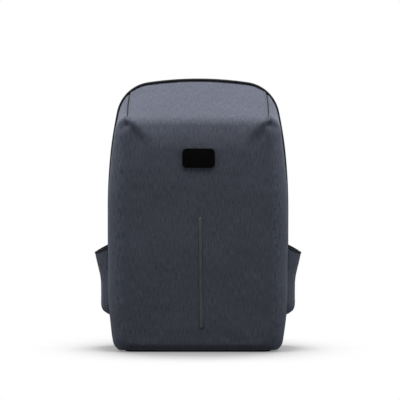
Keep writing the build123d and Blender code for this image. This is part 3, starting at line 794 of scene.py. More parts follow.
def dress_shell(verts, faces):
    """Moves the outer cloth's points: darts, puckers, diagonal creases and soft unevenness."""
    normal = vertex_normals(verts, faces)
    centre = np.array([0, -20, 200.0])
    if ((verts - centre) * normal).sum(1).mean() < 0:
        normal = -normal
    x, y, z = verts.T
    ax = np.abs(x)
    move = np.zeros(len(verts))
    # dart seams across the slope, deepest at the ridge
    on_slope = smooth(RIDGE_Z - 4, RIDGE_Z + 3, z) * smooth(32, 26, y)
    bow = DART_X + 1.6 * np.sin(np.clip((z - RIDGE_Z) / 42, 0, 1) * math.pi) - 0.4
    gap = ax - bow
    move -= on_slope * (2.4 * bump(gap, 0, 1.4) - 1.1 * bump(gap, -3.6, 2.0)
                        - 0.6 * bump(gap, 3.6, 2.2))
    # puckers where each dart ends at the ridge
    for side in (-1, 1):
        d = lambda px, pz, s: np.exp(-(((x - side * px) ** 2 + (z - pz) ** 2) / s**2))
        on_front = smooth(-40, -62, y)
        move += on_front * (3.0 * d(117, 386, 5.0) - 3.3 * d(116.0, 376.0, 5.0)
                            + 1.4 * d(124, 381, 4.0) - 1.6 * d(126, 371, 7) + 1.1 * d(108, 381, 4.5))
        # the diagonal pull crease that leads inward from the corner
        p0, p1 = np.array([115.0, 381.0]), np.array([78.0, 340.0])
        u = (p1 - p0) / np.linalg.norm(p1 - p0)
        rel = np.stack([side * x - p0[0], z - p0[1]], -1)
        s = rel @ u
        t = rel @ np.array([-u[1], u[0]])
        fade = smooth(-2, 6, s) * smooth(62, 22, s)
        wide = 1 + s / 40
        move += on_front * fade * (1.2 * bump(t, -4.0 * wide, 5.0 * wide)
                                   - 1.5 * bump(t, 3.4 * wide, 4.4 * wide))
        # a shorter crease outward to the side
        p1 = np.array([140.0, 366.0])
        u = (p1 - p0) / np.linalg.norm(p1 - p0)
        s = rel @ u
        t = rel @ np.array([-u[1], u[0]])
        fade = smooth(0, 6, s) * smooth(26, 14, s)
        move += fade * (0.9 * bump(t, 2.4, 3.0) - 0.8 * bump(t, -3, 3.0)) * smooth(20, -20, y)
    # soft unevenness of real cloth over foam, calm around the module
    near_module = ((x - MODULE_X) / 44) ** 2 + ((z - MODULE_Z) / 34) ** 2
    calm = 1 - np.exp(-near_module ** 2) * smooth(-50, -60, y)
    rim = smooth(33, 22, y)
    move += calm * rim * (0.9 * fbm(verts, 95, 3.1) + 0.28 * fbm(verts * [1, 1, 0.6], 26, 7.7))
    foot = smooth(40, 14, z)
    move += rim * foot * 0.5 * fbm(verts * [1, 1, 0.5], 16, 1.3)
    out = verts + normal * move[:, None]
    out[:, 2] = np.maximum(out[:, 2], FABRIC_IN)
    return out


def make_shell():
    verts, faces = shell_surface(FABRIC_IN, swell=CLOTH_PROUD)
    cloth = shell_cloth(verts)
    verts = dress_shell(verts, faces)
    obj = piece("shell_cloth", verts, faces, HEATHER, cloth)
    thicken(obj, 1, -1)
    dressed(obj, "front_shell", "heather_fabric", "front_panel", "left_side_panel",
            "right_side_panel", "right_port_panel")


make_shell()


# ---------------------------------------------------------------- lining, rim and main zip
def make_lining():
    verts, faces = shell_surface(LINING_IN, side_rows=10, edge_rows=6)
    cloth = shell_cloth(verts)
    normal = vertex_normals(verts, faces)
    verts = verts + normal * (0.7 * fbm(verts, 60, 5.5))[:, None] * smooth(33, 20, verts[:, 1])[:, None]
    verts[:, 2] = np.maximum(verts[:, 2], 6.2)
    obj = piece("shell_lining_cloth", verts, faces, LINING, cloth)
    thicken(obj, 1.2, -1)
    dressed(obj, "front_shell", "dark_fabric", "foam_shell", "shell_lining")


BEAD = [(3.4, 27.6), (2.4, 27.2), (1.2, 27.6), (0.35, 28.6), (0.0, 30.2), (0.15, 31.8), (0.8, 32.8),
        (1.8, 33.1), (5.0, 33.2), (8.9, 33.1), (9.3, 32.4), (9.2, 30.0), (6.0, 31.0), (3.5, 31.2)]


def make_rim():
    """The bound edge of the front shell, which the zip is sewn to."""
    pts, normals, length = arch_path(3.6, 3.0)
    proud = 1.4 * smooth(415, 330, pts[:, 1]) + 0.3
    obj = sweep_arch("rim_binding_tape", (pts + normals * proud[:, None], normals, length), BEAD,
                     BINDING)
    dressed(obj, "front_shell", "dark_fabric", "rim_binding")
    sill = [(x, REAR_Y, 5.2) for x in np.linspace(-121, 121, 60)]
    obj = ribbon("sill_binding_tape", sill, (0, 0.35, 1), 4.4, 1.4, BINDING)
    dressed(obj, "front_shell", "dark_fabric")


def tooth(width, depth, length):
    """One coil loop's outer turn as a small rounded block: points about its middle, and faces."""
    a = np.array([[-1, -1], [1, -1], [1, 1], [-1, 1]], float)
    rings = []
    for s, k in ((-1, 0.62), (-0.55, 1.0), (0.55, 1.0), (1, 0.62)):
        rings.append(np.stack([a[:, 0] * k * width / 2, a[:, 1] * k * depth / 2,
                               np.full(4, s * length / 2)], -1))
    v = np.concatenate(rings)
    f = grid_faces(4, 4, wrap_columns=True)
    f += [(0, 1, 2, 3), (15, 14, 13, 12)]
    return v, f


def zip_half(name, path, side, body, node_name):
    """One side of the zip: its tape and its row of coil teeth. side is -1 in front, 1 behind."""
    y_sewn = REAR_Y if side < 0 else PANEL_FRONT_Y
    y_edge = ZIP_Y + side * 0.9
    ys = np.linspace(y_sewn, y_edge, 5)
    outer = [(1.0 + 0.5 * math.sin(math.pi * i / 4), y) for i, y in enumerate(ys)]
    inner = [(inset + 1.1, y) for inset, y in outer[::-1]]
    tape = sweep_arch(name + "_tape", path, outer + inner, BINDING)
    dressed(tape, body, "dark_fabric", node_name)
    pts, normals, length = path
    pitch = 1.5
    v0, f0 = tooth(2.5, 1.25, 0.8)
    total = length[-1]
    at = np.arange(pitch, total - pitch, pitch) + (pitch / 2 if side > 0 else 0)
    centre = np.stack([np.interp(at, length, pts[:, k]) for k in (0, 1)], -1)
    nrm = unit(np.stack([np.interp(at, length, normals[:, k]) for k in (0, 1)], -1))
    verts, faces = [], []
    for i in range(len(at)):
        out3 = np.array([nrm[i, 0], 0, nrm[i, 1]])
        run3 = np.array([-nrm[i, 1], 0, nrm[i, 0]])
        c = np.array([centre[i, 0], ZIP_Y + side * 0.75, centre[i, 1]]) - out3 * 0.55
        base = len(verts)
        verts += list(c + np.outer(v0[:, 0], [0, 1, 0]) + np.outer(v0[:, 1], out3)
                      + np.outer(v0[:, 2], run3))
        faces += [tuple(base + k for k in f) for f in f0]
    obj = piece(name + "_coil", verts, faces, COIL)
    dressed(obj, body, "dark_fabric")
    y_row = y_sewn + side * -2.2
    p = np.stack([pts[:, 0] - normals[:, 0] * 1.05, np.full(len(pts), y_row),
                  pts[:, 1] - normals[:, 1] * 1.05], -1)
    n3 = np.stack([normals[:, 0], np.zeros(len(pts)), normals[:, 1]], -1)
    row = stitches(name + "_stitch", [(p, n3)], THREAD, pitch=3.0, length=2.2, radius=0.22)
    dressed(row, body, "dark_fabric")


def make_zip():
    path = arch_path(64.0, 2.5)
    zip_half("zip_front", path, -1, "front_shell", "zip_tape_front")
    zip_half("zip_rear", path, 1, "back_panel", "zip_tape_rear")
    right = arch_path(9.0, 2.5, 65.5)
    profile = [(1.0, 33.0), (1.35, 36), (1.4, 39), (1.25, 42), (1.0, 44.3), (2.1, 44.3), (2.5, 42),
               (2.6, 39), (2.4, 36), (2.1, 33.0)]
    gusset = sweep_arch("right_gusset_tape", right, profile, BINDING)
    other = mirrored(gusset, "left_gusset_tape")
    dressed(gusset, "front_shell", "dark_fabric", "hinge_gusset")
    dressed(other, "front_shell", "dark_fabric")
    for side in (1, -1):
        z = 62.5
        x = HALF - (110 - z) ** 2 / (2 * LOW_R)
        stop, f = tooth(4.4, 1.6, 5.0)
        v = np.stack([stop[:, 1] + side * (x - 0.4), stop[:, 0] + 38.4, stop[:, 2] + z], -1)
        obj = piece(("right" if side > 0 else "left") + "_zip_stop", v, f, METAL)
        dressed(obj, "front_shell", "zip_metal", *(["zip_end_stops"] if side > 0 else []))


def surface():
    obj = bpy.data.objects["shell_cloth"]
    verts = [v.co / MM for v in obj.data.vertices]
    return BVHTree.FromPolygons(verts, [tuple(p.vertices) for p in obj.data.polygons])


TREE = surface()


def cast(origin, direction):
    hit, normal, _, _ = TREE.ray_cast(Vector(origin), Vector(direction).normalized())
    if hit is None:
        return None, None
    if normal.dot(Vector(direction)) > 0:
        normal = -normal
    return np.array(hit), np.array(normal)


# ---------------------------------------------------------------- side pockets
def pocket_outer(z):
    """|x| of the pocket's outside at a height, where it stands out most."""
    return np.interp(z, [61, 63, 66, 71, 78, 88, 112, 124, 136, 148, 158, 172],
                     [150, 153.8, 156.8, 158.9, 159.6, 159.6, 159.8, 161.2, 164.0, 167.2, 169.8, 170.6])


def make_pocket(name):
    """A gathered pocket of the shell's cloth that gapes at its mouth."""
    verts, cloth = [], []
    for v in np.arange(POCKET_ROWS) / (POCKET_ROWS - 1):
        for q in np.linspace(-1, 1, POCKET_COLS):
            bulge = max(1 - abs(q) ** 2.3, 0) ** 0.62
            z = POCKET_FOOT_Z + v * 100
            for _ in range(4):
                x = POCKET_ROOT + (pocket_outer(z) - POCKET_ROOT) * bulge
                mouth = 173.5 - 0.52 * (x - 146)
                z = POCKET_FOOT_Z + v * (mouth - POCKET_FOOT_Z)
            x = POCKET_ROOT + (pocket_outer(z) - POCKET_ROOT) * bulge
            y = -9 + 31 * q * (1 - 0.06 * (1 - v) - 0.20 * max(1 - v / 0.17, 0) ** 2)
            fold = (0.9 * math.sin(q * 9 + 0.7 + v) + 0.6 * math.sin(q * 17 + 2 - 2 * v)) * bulge
            fold *= 0.35 + 0.65 * (1 - v) ** 1.5 + 0.25 * v
            p = np.array([x, y, z])
            sag = 0.8 * noise.noise(Vector((q * 2.2, v * 3.1, 4.4))) * bulge
            p[0] += (fold + sag) * (0.55 if v > 0.93 else 0.9)
            verts.append(p)
            cloth.append((q * 42, z))
    obj = piece(name, verts, grid_faces(POCKET_ROWS, POCKET_COLS), HEATHER, cloth)
    thicken(obj, 1.6, 0)
    return obj


def pocket_seam(name):
    """Stitching down the pocket's sides and along its foot, on the shell's cloth."""
    corner = [(-45.5, 168.0), (-45.0, 75.0), (-41.0, 63.0), (-34.0, 58.6), (16.0, 58.6), (21.5, 63.0),
              (25.2, 75.0), (25.6, 168.0)]
    path, normals = [], []
    for y, z in along(np.array(corner), np.linspace(0, 1, 160)):
        hit, normal = cast((200, y, z), (-1, 0, 0))
        path.append(hit + normal * 0.1)
        normals.append(normal)
    return stitches(name, [(path, np.array(normals))], GREY_THREAD, pitch=3.4, length=2.4, radius=0.28)


def pocket_edge(name):
    """The tape bound over the pocket's mouth."""
    mouth = bpy.data.objects["right_pocket"].data.vertices[-POCKET_COLS:]
    path = np.array([v.co[:] for v in mouth]) / MM
    path[:, 0] += 0.1
    return tube(name, path, 2.1, BINDING, sides=12, squash=0.75, normal=(1, 0, 0.2))


# ---------------------------------------------------------------- front trims
def make_strip():
    """The grey reflective tape let into the front."""
    path, normals = [], []
    for z in np.linspace(40.2, 223.6, 70):
        x = 5.6 - 2.2 * (z - 40) / 184
        hit, normal = cast((x, -200, z), (0, 1, 0))
        path.append(hit + normal * 0.15)
        normals.append(normal)
    ends = np.sin(np.clip(np.minimum(np.linspace(0, 1, 70), 1 - np.linspace(0, 1, 70)) * 60, 0, 1)
                  * math.pi / 2)
    obj = ribbon("reflective_tape", path, normals, 4.9 * (0.35 + 0.65 * ends), 1.0, REFLECTIVE)
    dressed(obj, "front_shell", "reflective_tape", "reflective_strip")
    path = np.array(path)
    normals = np.array(normals)
    edges = []
    for side in (-1, 1):
        edges.append(path + [side * 2.75, 0, 0] - normals * 0.1)
    lip = [tube(f"tape_lip_{i}", e, 0.4, THREAD, sides=6) for i, e in enumerate(edges)]
    for obj in lip:
        dressed(obj, "front_shell", "dark_fabric")


def make_seams():
    """Top stitching beside the darts, and the dart's own thread."""
    runs, threads = [], []
    for side in (-1, 1):
        for gap, store in ((-4.6, runs), (0.0, threads)):
            path, normals = [], []
            for y in np.linspace(24, -70, 60):
                f = (33 - y) / 118
                z_guess = 427 - 44 * f
                bow = DART_X + 1.6 * math.sin(np.clip((z_guess - RIDGE_Z) / 42, 0, 1) * math.pi) - 0.4
                hit, normal = cast((side * (bow + gap), y, 600), (0, 0, -1))
                if hit is None:
                    continue
                path.append(hit + normal * (0.12 if store is runs else 0.1))
                normals.append(normal)
            store.append((np.array(path), np.array(normals)))
    obj = stitches("dart_stitches", runs, GREY_THREAD, pitch=3.4, length=2.4, radius=0.26)
    dressed(obj, "front_shell", "heather_fabric")
    for i, (path, normals) in enumerate(threads):
        obj = tube(f"dart_cord_{i}", path, 1.15, BINDING, sides=6)
        dressed(obj, "front_shell", "dark_fabric")


# ---------------------------------------------------------------- back panel
BACK_COUNTS = (37, 10, 16, 24, 26, 16, 34)


def back_loop(inset):
    """The back panel's outline, closed, in (x, z), with its sole at z = 8."""
    half = right_half(inset, BACK_COUNTS)
    half[:, 1] = np.maximum(half[:, 1], 8.0 + (inset - 1.5))
    return closed_loop(half)


def make_back_cover():
    """Outer mesh cloth, stiff sheet and lining as one upholstered panel."""
    steps = [(4.0, 45.2), (2.2, 45.1), (1.5, 45.7), (1.4, 47.5), (1.6, 49.0), (2.6, 50.0),
             (5.0, 50.25), (9.0, 50.0)]
    loops = []
    for inset, y in steps:
        l = back_loop(inset)
        loops.append(np.stack([l[:, 0], np.full(len(l), y), l[:, 1]], -1))
    n = len(loops[0])
    na, nb, nc, nd, ne, nf, _ = BACK_COUNTS
    c_low, c_high = na + nb // 2, na + nb + nc + nd + ne + nf // 2
    corners = (c_low, c_high, n - c_high, n - c_low)
    verts = np.concatenate(loops)
    faces = grid_faces(len(loops), n, wrap_columns=True)
    verts = close_loop(verts, faces, (len(loops) - 1) * n, n, corners,
                       lambda x, z: 49.8 + 0.3 * np.sin(x / 23) * np.sin(z / 31))
    outer = len(faces)
    verts = close_loop(verts, faces, 0, n, corners, lambda x, z: 45.2 + 0.2 * np.sin(z / 40))
    mats = [0] * outer + [1] * (len(faces) - outer)
    obj = piece("back_cover", verts, faces, [BACK_CLOTH, LINING], verts[:, [0, 2]])
    obj.data.polygons.foreach_set("material_index", mats)
    dressed(obj, "back_panel", "mesh_fabric", "back_fabric", "frame_sheet", "back_lining")
    loop = back_loop(4.6)
    path = np.stack([loop[:, 0], np.full(len(loop), 50.4), loop[:, 1]], -1)
    path = np.concatenate([path, path[:1]])
    piping = tube("back_piping", path, 1.5, BINDING, sides=8)
    dressed(piping, "back_panel", "dark_fabric")
    loop = back_loop(9.5)
    path = np.stack([loop[:, 0], np.full(len(loop), 50.15), loop[:, 1]], -1)
    row = stitches("back_edge_stitches", [(path, (0, 1, 0))], THREAD, radius=0.3)
    dressed(row, "back_panel", "dark_fabric")


def rounded_distance(u, v, half_u, half_v, radius):
    """Distance inward from a rounded rectangle's edge."""
    qx = np.abs(u) - (half_u - radius)
    qy = np.abs(v) - (half_v - radius)
    outside = np.sqrt(np.maximum(qx, 0) ** 2 + np.maximum(qy, 0) ** 2)
    return radius - outside - np.minimum(np.maximum(qx, qy), 0)


def pad(name, centre, half_u, half_v, radius, depth, grooves, nu, nv):
    """A quilted foam pad on the back panel, rising from y = 50."""
    cu, cv = centre
    u = np.linspace(-1, 1, nu)
    v = np.linspace(-1, 1, nv)
    u, v = np.meshgrid(u, v)
    # square to rounded rectangle, keeping the grid's rows
    su, sv = u * half_u, v * half_v
    k = radius * 0.2929
    su = su - np.sign(su) * k * (np.abs(u) ** 6) * (np.abs(v) ** 6) * 1.6
    sv = sv - np.sign(sv) * k * (np.abs(u) ** 6) * (np.abs(v) ** 6) * 1.6
    d = np.minimum(half_u - np.abs(su), half_v - np.abs(sv))
    d = np.minimum(d, rounded_distance(su, sv, half_u, half_v, radius))
    d = np.maximum(d, 0)
    crown = np.clip(d / 9.0, 0, 1)
    y = 49.4 + (depth + 0.6) * (1 - (1 - crown) ** 2.4) ** 0.55
    y = y + 0.5 * np.clip((d - 8) / 30, 0, 1)
    for g in grooves:
        y = y - (depth * 0.42) * np.exp(-((g(su, sv) / 2.6) ** 2)) * np.clip(d / 8, 0, 1)
    y = np.minimum(y, 50 + depth)
    top = np.stack([su + cu, y, sv + cv], -1).reshape(-1, 3)
    faces = grid_faces(nv, nu)
    count = len(top)
    border = (list(range(nu)) + [i * nu + nu - 1 for i in range(1, nv)]
              + [(nv - 1) * nu + j for j in range(nu - 2, -1, -1)]
              + [i * nu for i in range(nv - 2, 0, -1)])
    under = top[border].copy()
    under[:, 1] = 49.2
    verts = np.concatenate([top, under])
    b = len(border)
    for i in range(b):
        faces.append((border[i], border[(i + 1) % b], count + (i + 1) % b, count + i))
    faces.append(tuple(range(count, count + b)))
    obj = piece(name, verts, faces, AIR_MESH, verts[:, [0, 2]])
    return obj


def make_pads():
    chevrons = [lambda u, v, c=c: (v - c - 0.35 * u) * 0.94 for c in (-88, -44, 0, 44, 88)]
    right = pad("right_pad", (64, 248), 54, 132, 22, 11, chevrons, 49, 111)
    left = mirrored(right, "left_pad")
    dressed(right, "back_panel", "mesh_fabric", "right_back_pad")
    dressed(left, "back_panel", "mesh_fabric", "left_back_pad")
    bars = [lambda u, v: v - 9, lambda u, v: v + 12]
    low = pad("lumbar_cushion", (0, 64), 68, 36, 20, 10, bars, 57, 35)
    dressed(low, "back_panel", "mesh_fabric", "lumbar_pad")
    runs = []
    for cx, cz, hu, hv, r in ((64, 248, 54, 132, 22), (-64, 248, 54, 132, 22), (0, 64, 68, 36, 20)):
        path = rounded_path(cx, cz, hu + 2.4, hv + 2.4, r + 2.4, 50.15)
        runs.append((path, (0, 1, 0)))
    dressed(stitches("pad_stitches", runs, THREAD, radius=0.3), "back_panel", "dark_fabric")


def rounded_path(cx, cz, hu, hv, r, y):
    pts = []
    for qx, qz, a0 in ((1, -1, -90), (1, 1, 0), (-1, 1, 90), (-1, -1, 180)):
        for a in np.linspace(a0, a0 + 90, 12):
            a = math.radians(a)
            pts.append((cx + qx * (hu - r) + r * math.cos(a), y, cz + qz * (hv - r) + r * math.sin(a)))
    pts.append(pts[0])
    return np.array(pts)


def make_hinge():
    """The cloth strip at the base that the back panel opens on."""
    pivot = np.array([46.9, 5.2])
    path = [(43.0, 1.3), (46.0, 0.75)]
    for a in np.linspace(-80, 10, 10):
        a = math.radians(a)
        path.append((pivot[0] + 4.3 * math.cos(a), pivot[1] + 4.3 * math.sin(a)))
    path += [(51.3, 8.5), (51.0, 12.0), (50.7, 16.0)]
    path = np.array(path)
    xs = np.linspace(-119, 119, 90)
    verts, cloth = [], []
    s = arc_length(path)
    for x in xs:
        for j, (y, z) in enumerate(path):
            ripple = 0.25 * math.sin(x / 7.3 + j) * (1 if 2 < j < 11 else 0)
            verts.append((x, y + ripple, max(z, 0.7)))
            cloth.append((x, s[j]))
    obj = piece("hinge_cloth", verts, grid_faces(len(xs), len(path)), BINDING, cloth)
    thicken(obj, 0.9, 0)
    apply_modifiers(obj)
    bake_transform(obj)


def make_sole():
    """A moulded base plate with grip ribs under it."""
    loops = []
    for inset, z in ((3.0, 0.9), (1.0, 0.0), (0.0, 0.7), (0.0, 2.4), (1.2, 3.3), (6.0, 3.4)):
        path = rounded_path(0, -9, 121 - inset, 42 - inset, 15 - inset, 0)[:-1]
        loops.append(np.stack([path[:, 0], path[:, 2], np.full(len(path), z)], -1))
    n = len(loops[0])
    faces = grid_faces(len(loops), n, wrap_columns=True)
    faces += [tuple(range(n)), tuple(range((len(loops) - 1) * n, len(loops) * n))]
    obj = piece("base_plate", np.concatenate(loops), faces, RUBBER)
    dressed(obj, "front_shell", "black_plastic", "base_panel")
    verts, faces = [], []
    for y in np.linspace(-44, 26, 11):
        for x0, x1 in ((-112, -62), (-56, -3), (3, 56), (62, 112)):
            base = len(verts)
            bar = [(x0, y - 1.6), (x1, y - 1.6), (x1 + 1, y), (x1, y + 1.6), (x0, y + 1.6), (x0 - 1, y)]
            verts += [(x, yy, 0.95) for x, yy in bar] + [
                (x * 0.998, y + (yy - y) * 0.6, 0.05) for x, yy in bar]
            faces += grid_faces(2, 6, wrap_columns=True, start=base)
            faces.append(tuple(range(base + 6, base + 12)))
    obj = piece("grip_ribs", verts, faces, RUBBER, smooth_faces=False)
    dressed(obj, "front_shell", "black_plastic")


def make_sleeve():
    """A padded sleeve for a laptop on the inside of the back panel."""
    half, low, top, r = 127.5, 28.5, 300.0, 12.0
    loop = [(-half, z) for z in np.linspace(top, low + r, 40)]
    for side, start in ((-1, 180), (1, 270)):
        for a in np.radians(np.linspace(start, start + 90, 9)[1:]):
            loop.append((side * (half - r) + r * math.cos(a), low + r + r * math.sin(a)))
        if side < 0:
            loop += [(x, low) for x in np.linspace(-half + r, half - r, 50)[1:]]
    loop += [(half, z) for z in np.linspace(low + r, top, 40)[1:]]
    loop = np.array(loop)
    n = len(loop)
    centre = np.array([0, 165.0])
    rows = []
    for y, k in ((45.1, 0), (41, 0.6), (36, 1.0), (31, 1.0), (27, 0.5), (24.4, -0.6), (23.0, -2.6),
                 (22.6, -5.5)):
        pull = unit(loop - centre) * k
        ring = loop + pull
        ring[:, 1] = np.where(loop[:, 1] > top - 0.5, top, ring[:, 1])
        x = np.clip(ring[:, 0], -half - 0.4, half + 0.4)
        rows.append(np.stack([x, np.full(n, y), ring[:, 1]], -1))
    verts = np.concatenate(rows)
    faces = grid_faces(len(rows), n)
    cloth = [(arc, y) for y in range(len(rows)) for arc in arc_length(loop)]
    # front wall: a sheet across the loop, with the mouth dipped in the middle
    nx, nz = 61, 60
    us = np.linspace(-1, 1, nx)
    start = len(verts)
    extra = []
    edge = half - 5.0
    for i in range(nz):
        v = i / (nz - 1)
        for u in us:
            mouth = top - 9 * (1 - abs(u) ** 3.0)
            z = low + 5.0 + v * (mouth - low - 5.0)
            corner = max(abs(u) - 0.9, 0) / 0.1
            z = z + (1 - v) * 6.5 * corner**2
            quilt = 0.9 * math.exp(-((((u * edge + z) % 44) - 22) / 2.2) ** 2)
            quilt = max(quilt, 0.9 * math.exp(-((((-u * edge + z) % 44) - 22) / 2.2) ** 2))
            puff = 22.4 - 0.6 + quilt * 1.1 * min(1, (1 - abs(u)) * 10) * min(1, v * 8, (1 - v) * 8 + 0.3)
            extra.append((u * edge, puff, z))
            cloth.append((u * edge, z))
    verts = np.concatenate([verts, np.array(extra)])
    faces += grid_faces(nz, nx, start=start)
    obj = piece("laptop_pocket", verts, faces, LINING, cloth)
    thicken(obj, 2.2, 0)
    dressed(obj, "back_panel", "dark_fabric", "laptop_sleeve")
    lip = [(u * edge, 22.4, top - 9 * (1 - abs(u) ** 3.0)) for u in np.linspace(-1, 1, 80)]
    lip = [(-half, 44, top)] + [(-half, y, top) for y in (38, 32, 26)] + lip + [
        (half, y, top) for y in (26, 32, 38, 44)]
    obj = tube("sleeve_binding", spline(lip, 160), 2.0, BINDING, sides=8, squash=0.8)
    dressed(obj, "back_panel", "dark_fabric")
    strap = spline([(0, 43.5, 332), (0, 36, 326), (0, 24, 312), (0, 19.6, 296), (0, 20.2, 270)], 40)
    obj = ribbon("sleeve_strap", strap, (0, -0.7, 0.7), 30, 1.8, WEBBING)
    dressed(obj, "back_panel", "dark_fabric")


# ---------------------------------------------------------------- handle and straps
def make_handle():
    rise = 19.0
    pts = [(61, 51.9), (55, 52.1), (50, 53.0)]
    for a in np.linspace(-1, 1, 13)[1:-1]:
        pts.append((-a * 47.5, 51.2 + rise * (1 - a * a)))
    pts += [(-50, 53.0), (-55, 52.1), (-61, 51.9)]
    path2 = spline(pts, 90)
    path = np.stack([path2[:, 0], path2[:, 1], np.full(90, 433.0)], -1)
    grip = smooth(46, 30, np.abs(path[:, 0]))
    width = 22 - 3.0 * grip
    thickness = 2.6 + 2.2 * grip
    t = unit(np.gradient(path, axis=0))
    normal = np.stack([-t[:, 1], t[:, 0], np.zeros(90)], -1)
    normal *= np.sign(normal[:, 1:2] + 1e-9)
    obj = ribbon("handle_webbing", path, normal, width, thickness, WEBBING)
    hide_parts("top_handle")
    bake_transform(obj)
    runs = []
    keep = np.abs(path[:, 0]) < 44
    for dz in (-7.2, 7.2):
        runs.append((path[keep] + normal[keep] * (thickness[keep, None] / 2 + 0.1) + [0, 0, dz],
                     normal[keep]))
    obj = stitches("handle_stitches", runs, THREAD, radius=0.3)
    dressed(obj, "handle", "webbing")
    box_runs = [(box_stitch(side * 56.5, 433, 4.0, 9.0, 53.5), (0, 1, 0)) for side in (-1, 1)]
    obj = stitches("handle_box_stitches", box_runs, GREY_THREAD, pitch=2.2, length=1.6, radius=0.28)
    dressed(obj, "back_panel", "webbing")


def box_stitch(cx, cz, hu, hv, y):
    """A box with a cross in it, as one path."""
    c = [(-1, -1), (1, -1), (1, 1), (-1, 1), (-1, -1), (1, 1), (1, -1), (-1, 1)]
    pts = np.array([(cx + u * hu, y, cz + v * hv) for u, v in c])
    return along(pts, np.linspace(0, 1, 90))


def strap_frame(n):
    """Centre path, half width and thickness of the right shoulder strap from the top down."""
    inner = spline([(52.5, 414.6), (66.0, 375), (75.5, 280), (68.0, 180), (63.2, 112)], n)
    outer = spline([(59.3, 414.6), (76.2, 378), (84.9, 282), (77.0, 180), (72.0, 112)], n)
    thin = 0.30 + 0.70 * smooth(0, 0.075, np.linspace(0, 1, n))
    mid = inner + (outer - inner) * thin[:, None] / 2
    z = mid[:, 1]
    near = np.polyval(np.polyfit([418, 290, 112], [26, 47, 68], 2), z)
    far = np.polyval(np.polyfit([418, 290, 112], [84, 106, 104], 2), z)
    centre = np.stack([(near + far) / 2, mid[:, 0], z], -1)
    return centre, (far - near) / 2, np.linalg.norm(outer - inner, axis=1) * thin


def strap_sections():
    """The strap's frame with the directions along it, across it and out of its face."""
    centre, half, thick = strap_frame(STRAP_STATIONS)
    tangent = unit(np.gradient(centre, axis=0))
    across = np.broadcast_to([1.0, 0, 0], centre.shape)
    across = unit(across - (across * tangent).sum(1)[:, None] * tangent)
    normal = np.cross(across, tangent)
    normal *= np.sign(normal[:, 1:2])
    return centre, half, thick, across, normal


def make_strap_pad(name):
    """A padded strap: cloth outside, spacer mesh inside, with a sewn channel near its edges."""
    centre, half, thick, across, normal = strap_sections()
    n = len(centre)
    t = np.array([-1, -0.985, -0.94, -0.88, -0.83, -0.79, -0.75, -0.7, -0.6, -0.45, -0.25, 0])
    t = np.concatenate([t, -t[:-1][::-1]])
    m = len(t)
    end = np.minimum(np.arange(n), np.arange(n)[::-1]) / (n - 1)
    taper = np.clip(end / 0.02, 0, 1) ** 0.5
    body = (1 - np.abs(t) ** 6) ** 0.5
    channel = 1 - 0.38 * np.exp(-(((np.abs(t) - 0.79) / 0.035) ** 2))
    verts, cloth = [], []
    s = arc_length(centre)
    for i in range(n):
        h = thick[i] / 2 * (0.42 + 0.58 * taper[i])
        rows = []
        for k in range(m):
            lift = h * (0.18 + 0.82 * body[k]) * channel[k]
            rows.append(centre[i] + across[i] * t[k] * half[i] + normal[i] * lift)
            cloth.append((t[k] * half[i], s[i]))
        for k in range(m - 2, 0, -1):
            ribs = 1 - 0.30 * math.exp(-((((s[i] + 3 * abs(t[k])) % 34) - 17) / 2.0) ** 2) * body[k]
            lift = h * (0.18 + 0.82 * body[k]) * channel[k] * ribs
            rows.append(centre[i] + across[i] * t[k] * half[i] - normal[i] * lift)
            cloth.append((t[k] * half[i], s[i]))
        verts += rows
    k = m + m - 2
    faces = grid_faces(n, k, wrap_columns=True)
    mats = ([0] * (m - 1) + [1] * (k - m + 1)) * (n - 1) + [0, 0]
    faces += [tuple(range(k)), tuple(range((n - 1) * k, n * k))[::-1]]
    obj = piece(name, verts, faces, [HEATHER, AIR_MESH], cloth)
    obj.data.polygons.foreach_set("material_index", mats)
    return obj


def make_strap_edge(name):
    """Binding tape round the strap pad's edge."""
    centre, half, thick, across, _ = strap_sections()
    right = centre + across * half[:, None]
    left = centre - across * half[:, None]
    low = np.linspace(left[-1], right[-1], 14)[1:-1]
    path = np.concatenate([left[2:], low, right[2:][::-1]])
    end = np.full(len(low), thick[-1])
    depth = np.concatenate([thick[2:], end, thick[2:][::-1]])
    return tube(name, path, np.minimum(0.30 * depth, 2.3), BINDING, sides=10)


def strap_line(u, lift, z0=None, z1=None):
    """A line on the strap's outer face at u across it, raised by lift."""
    centre, half, thick, across, normal = strap_sections()
    p = centre + across * (half * u)[:, None] + normal * (thick / 2 + lift)[:, None]
    keep = np.ones(len(p), bool)
    if z0 is not None:
        keep &= (p[:, 2] >= z0) & (p[:, 2] <= z1)
    return p[keep], normal[keep]


def make_strap_webbing(name):
    """The webbing sewn down the pad, which ends in the buckle's loop."""
    path, normal = strap_line(0, 0.25, 113, 330)
    loop = [(4.6, 110.5), (4.4, 107), (2.4, 103.9), (0, 103.3), (-2.4, 103.9), (-4.0, 107),
            (-4.2, 112.5), (-4.4, 120)]
    tail = [(BUCKLE_X, BUCKLE_Y + y, z) for y, z in loop]
    path = np.concatenate([path, tail])
    path = spline(path[np.r_[0:len(path) - 8:6, len(path) - 8:len(path)]], 150)
    t = unit(np.gradient(path, axis=0))
    normal = np.cross(np.broadcast_to([1.0, 0, 0], t.shape), t)
    normal *= np.sign(normal[0, 1])
    return ribbon(name, path, normal, 25, 1.5, WEBBING)


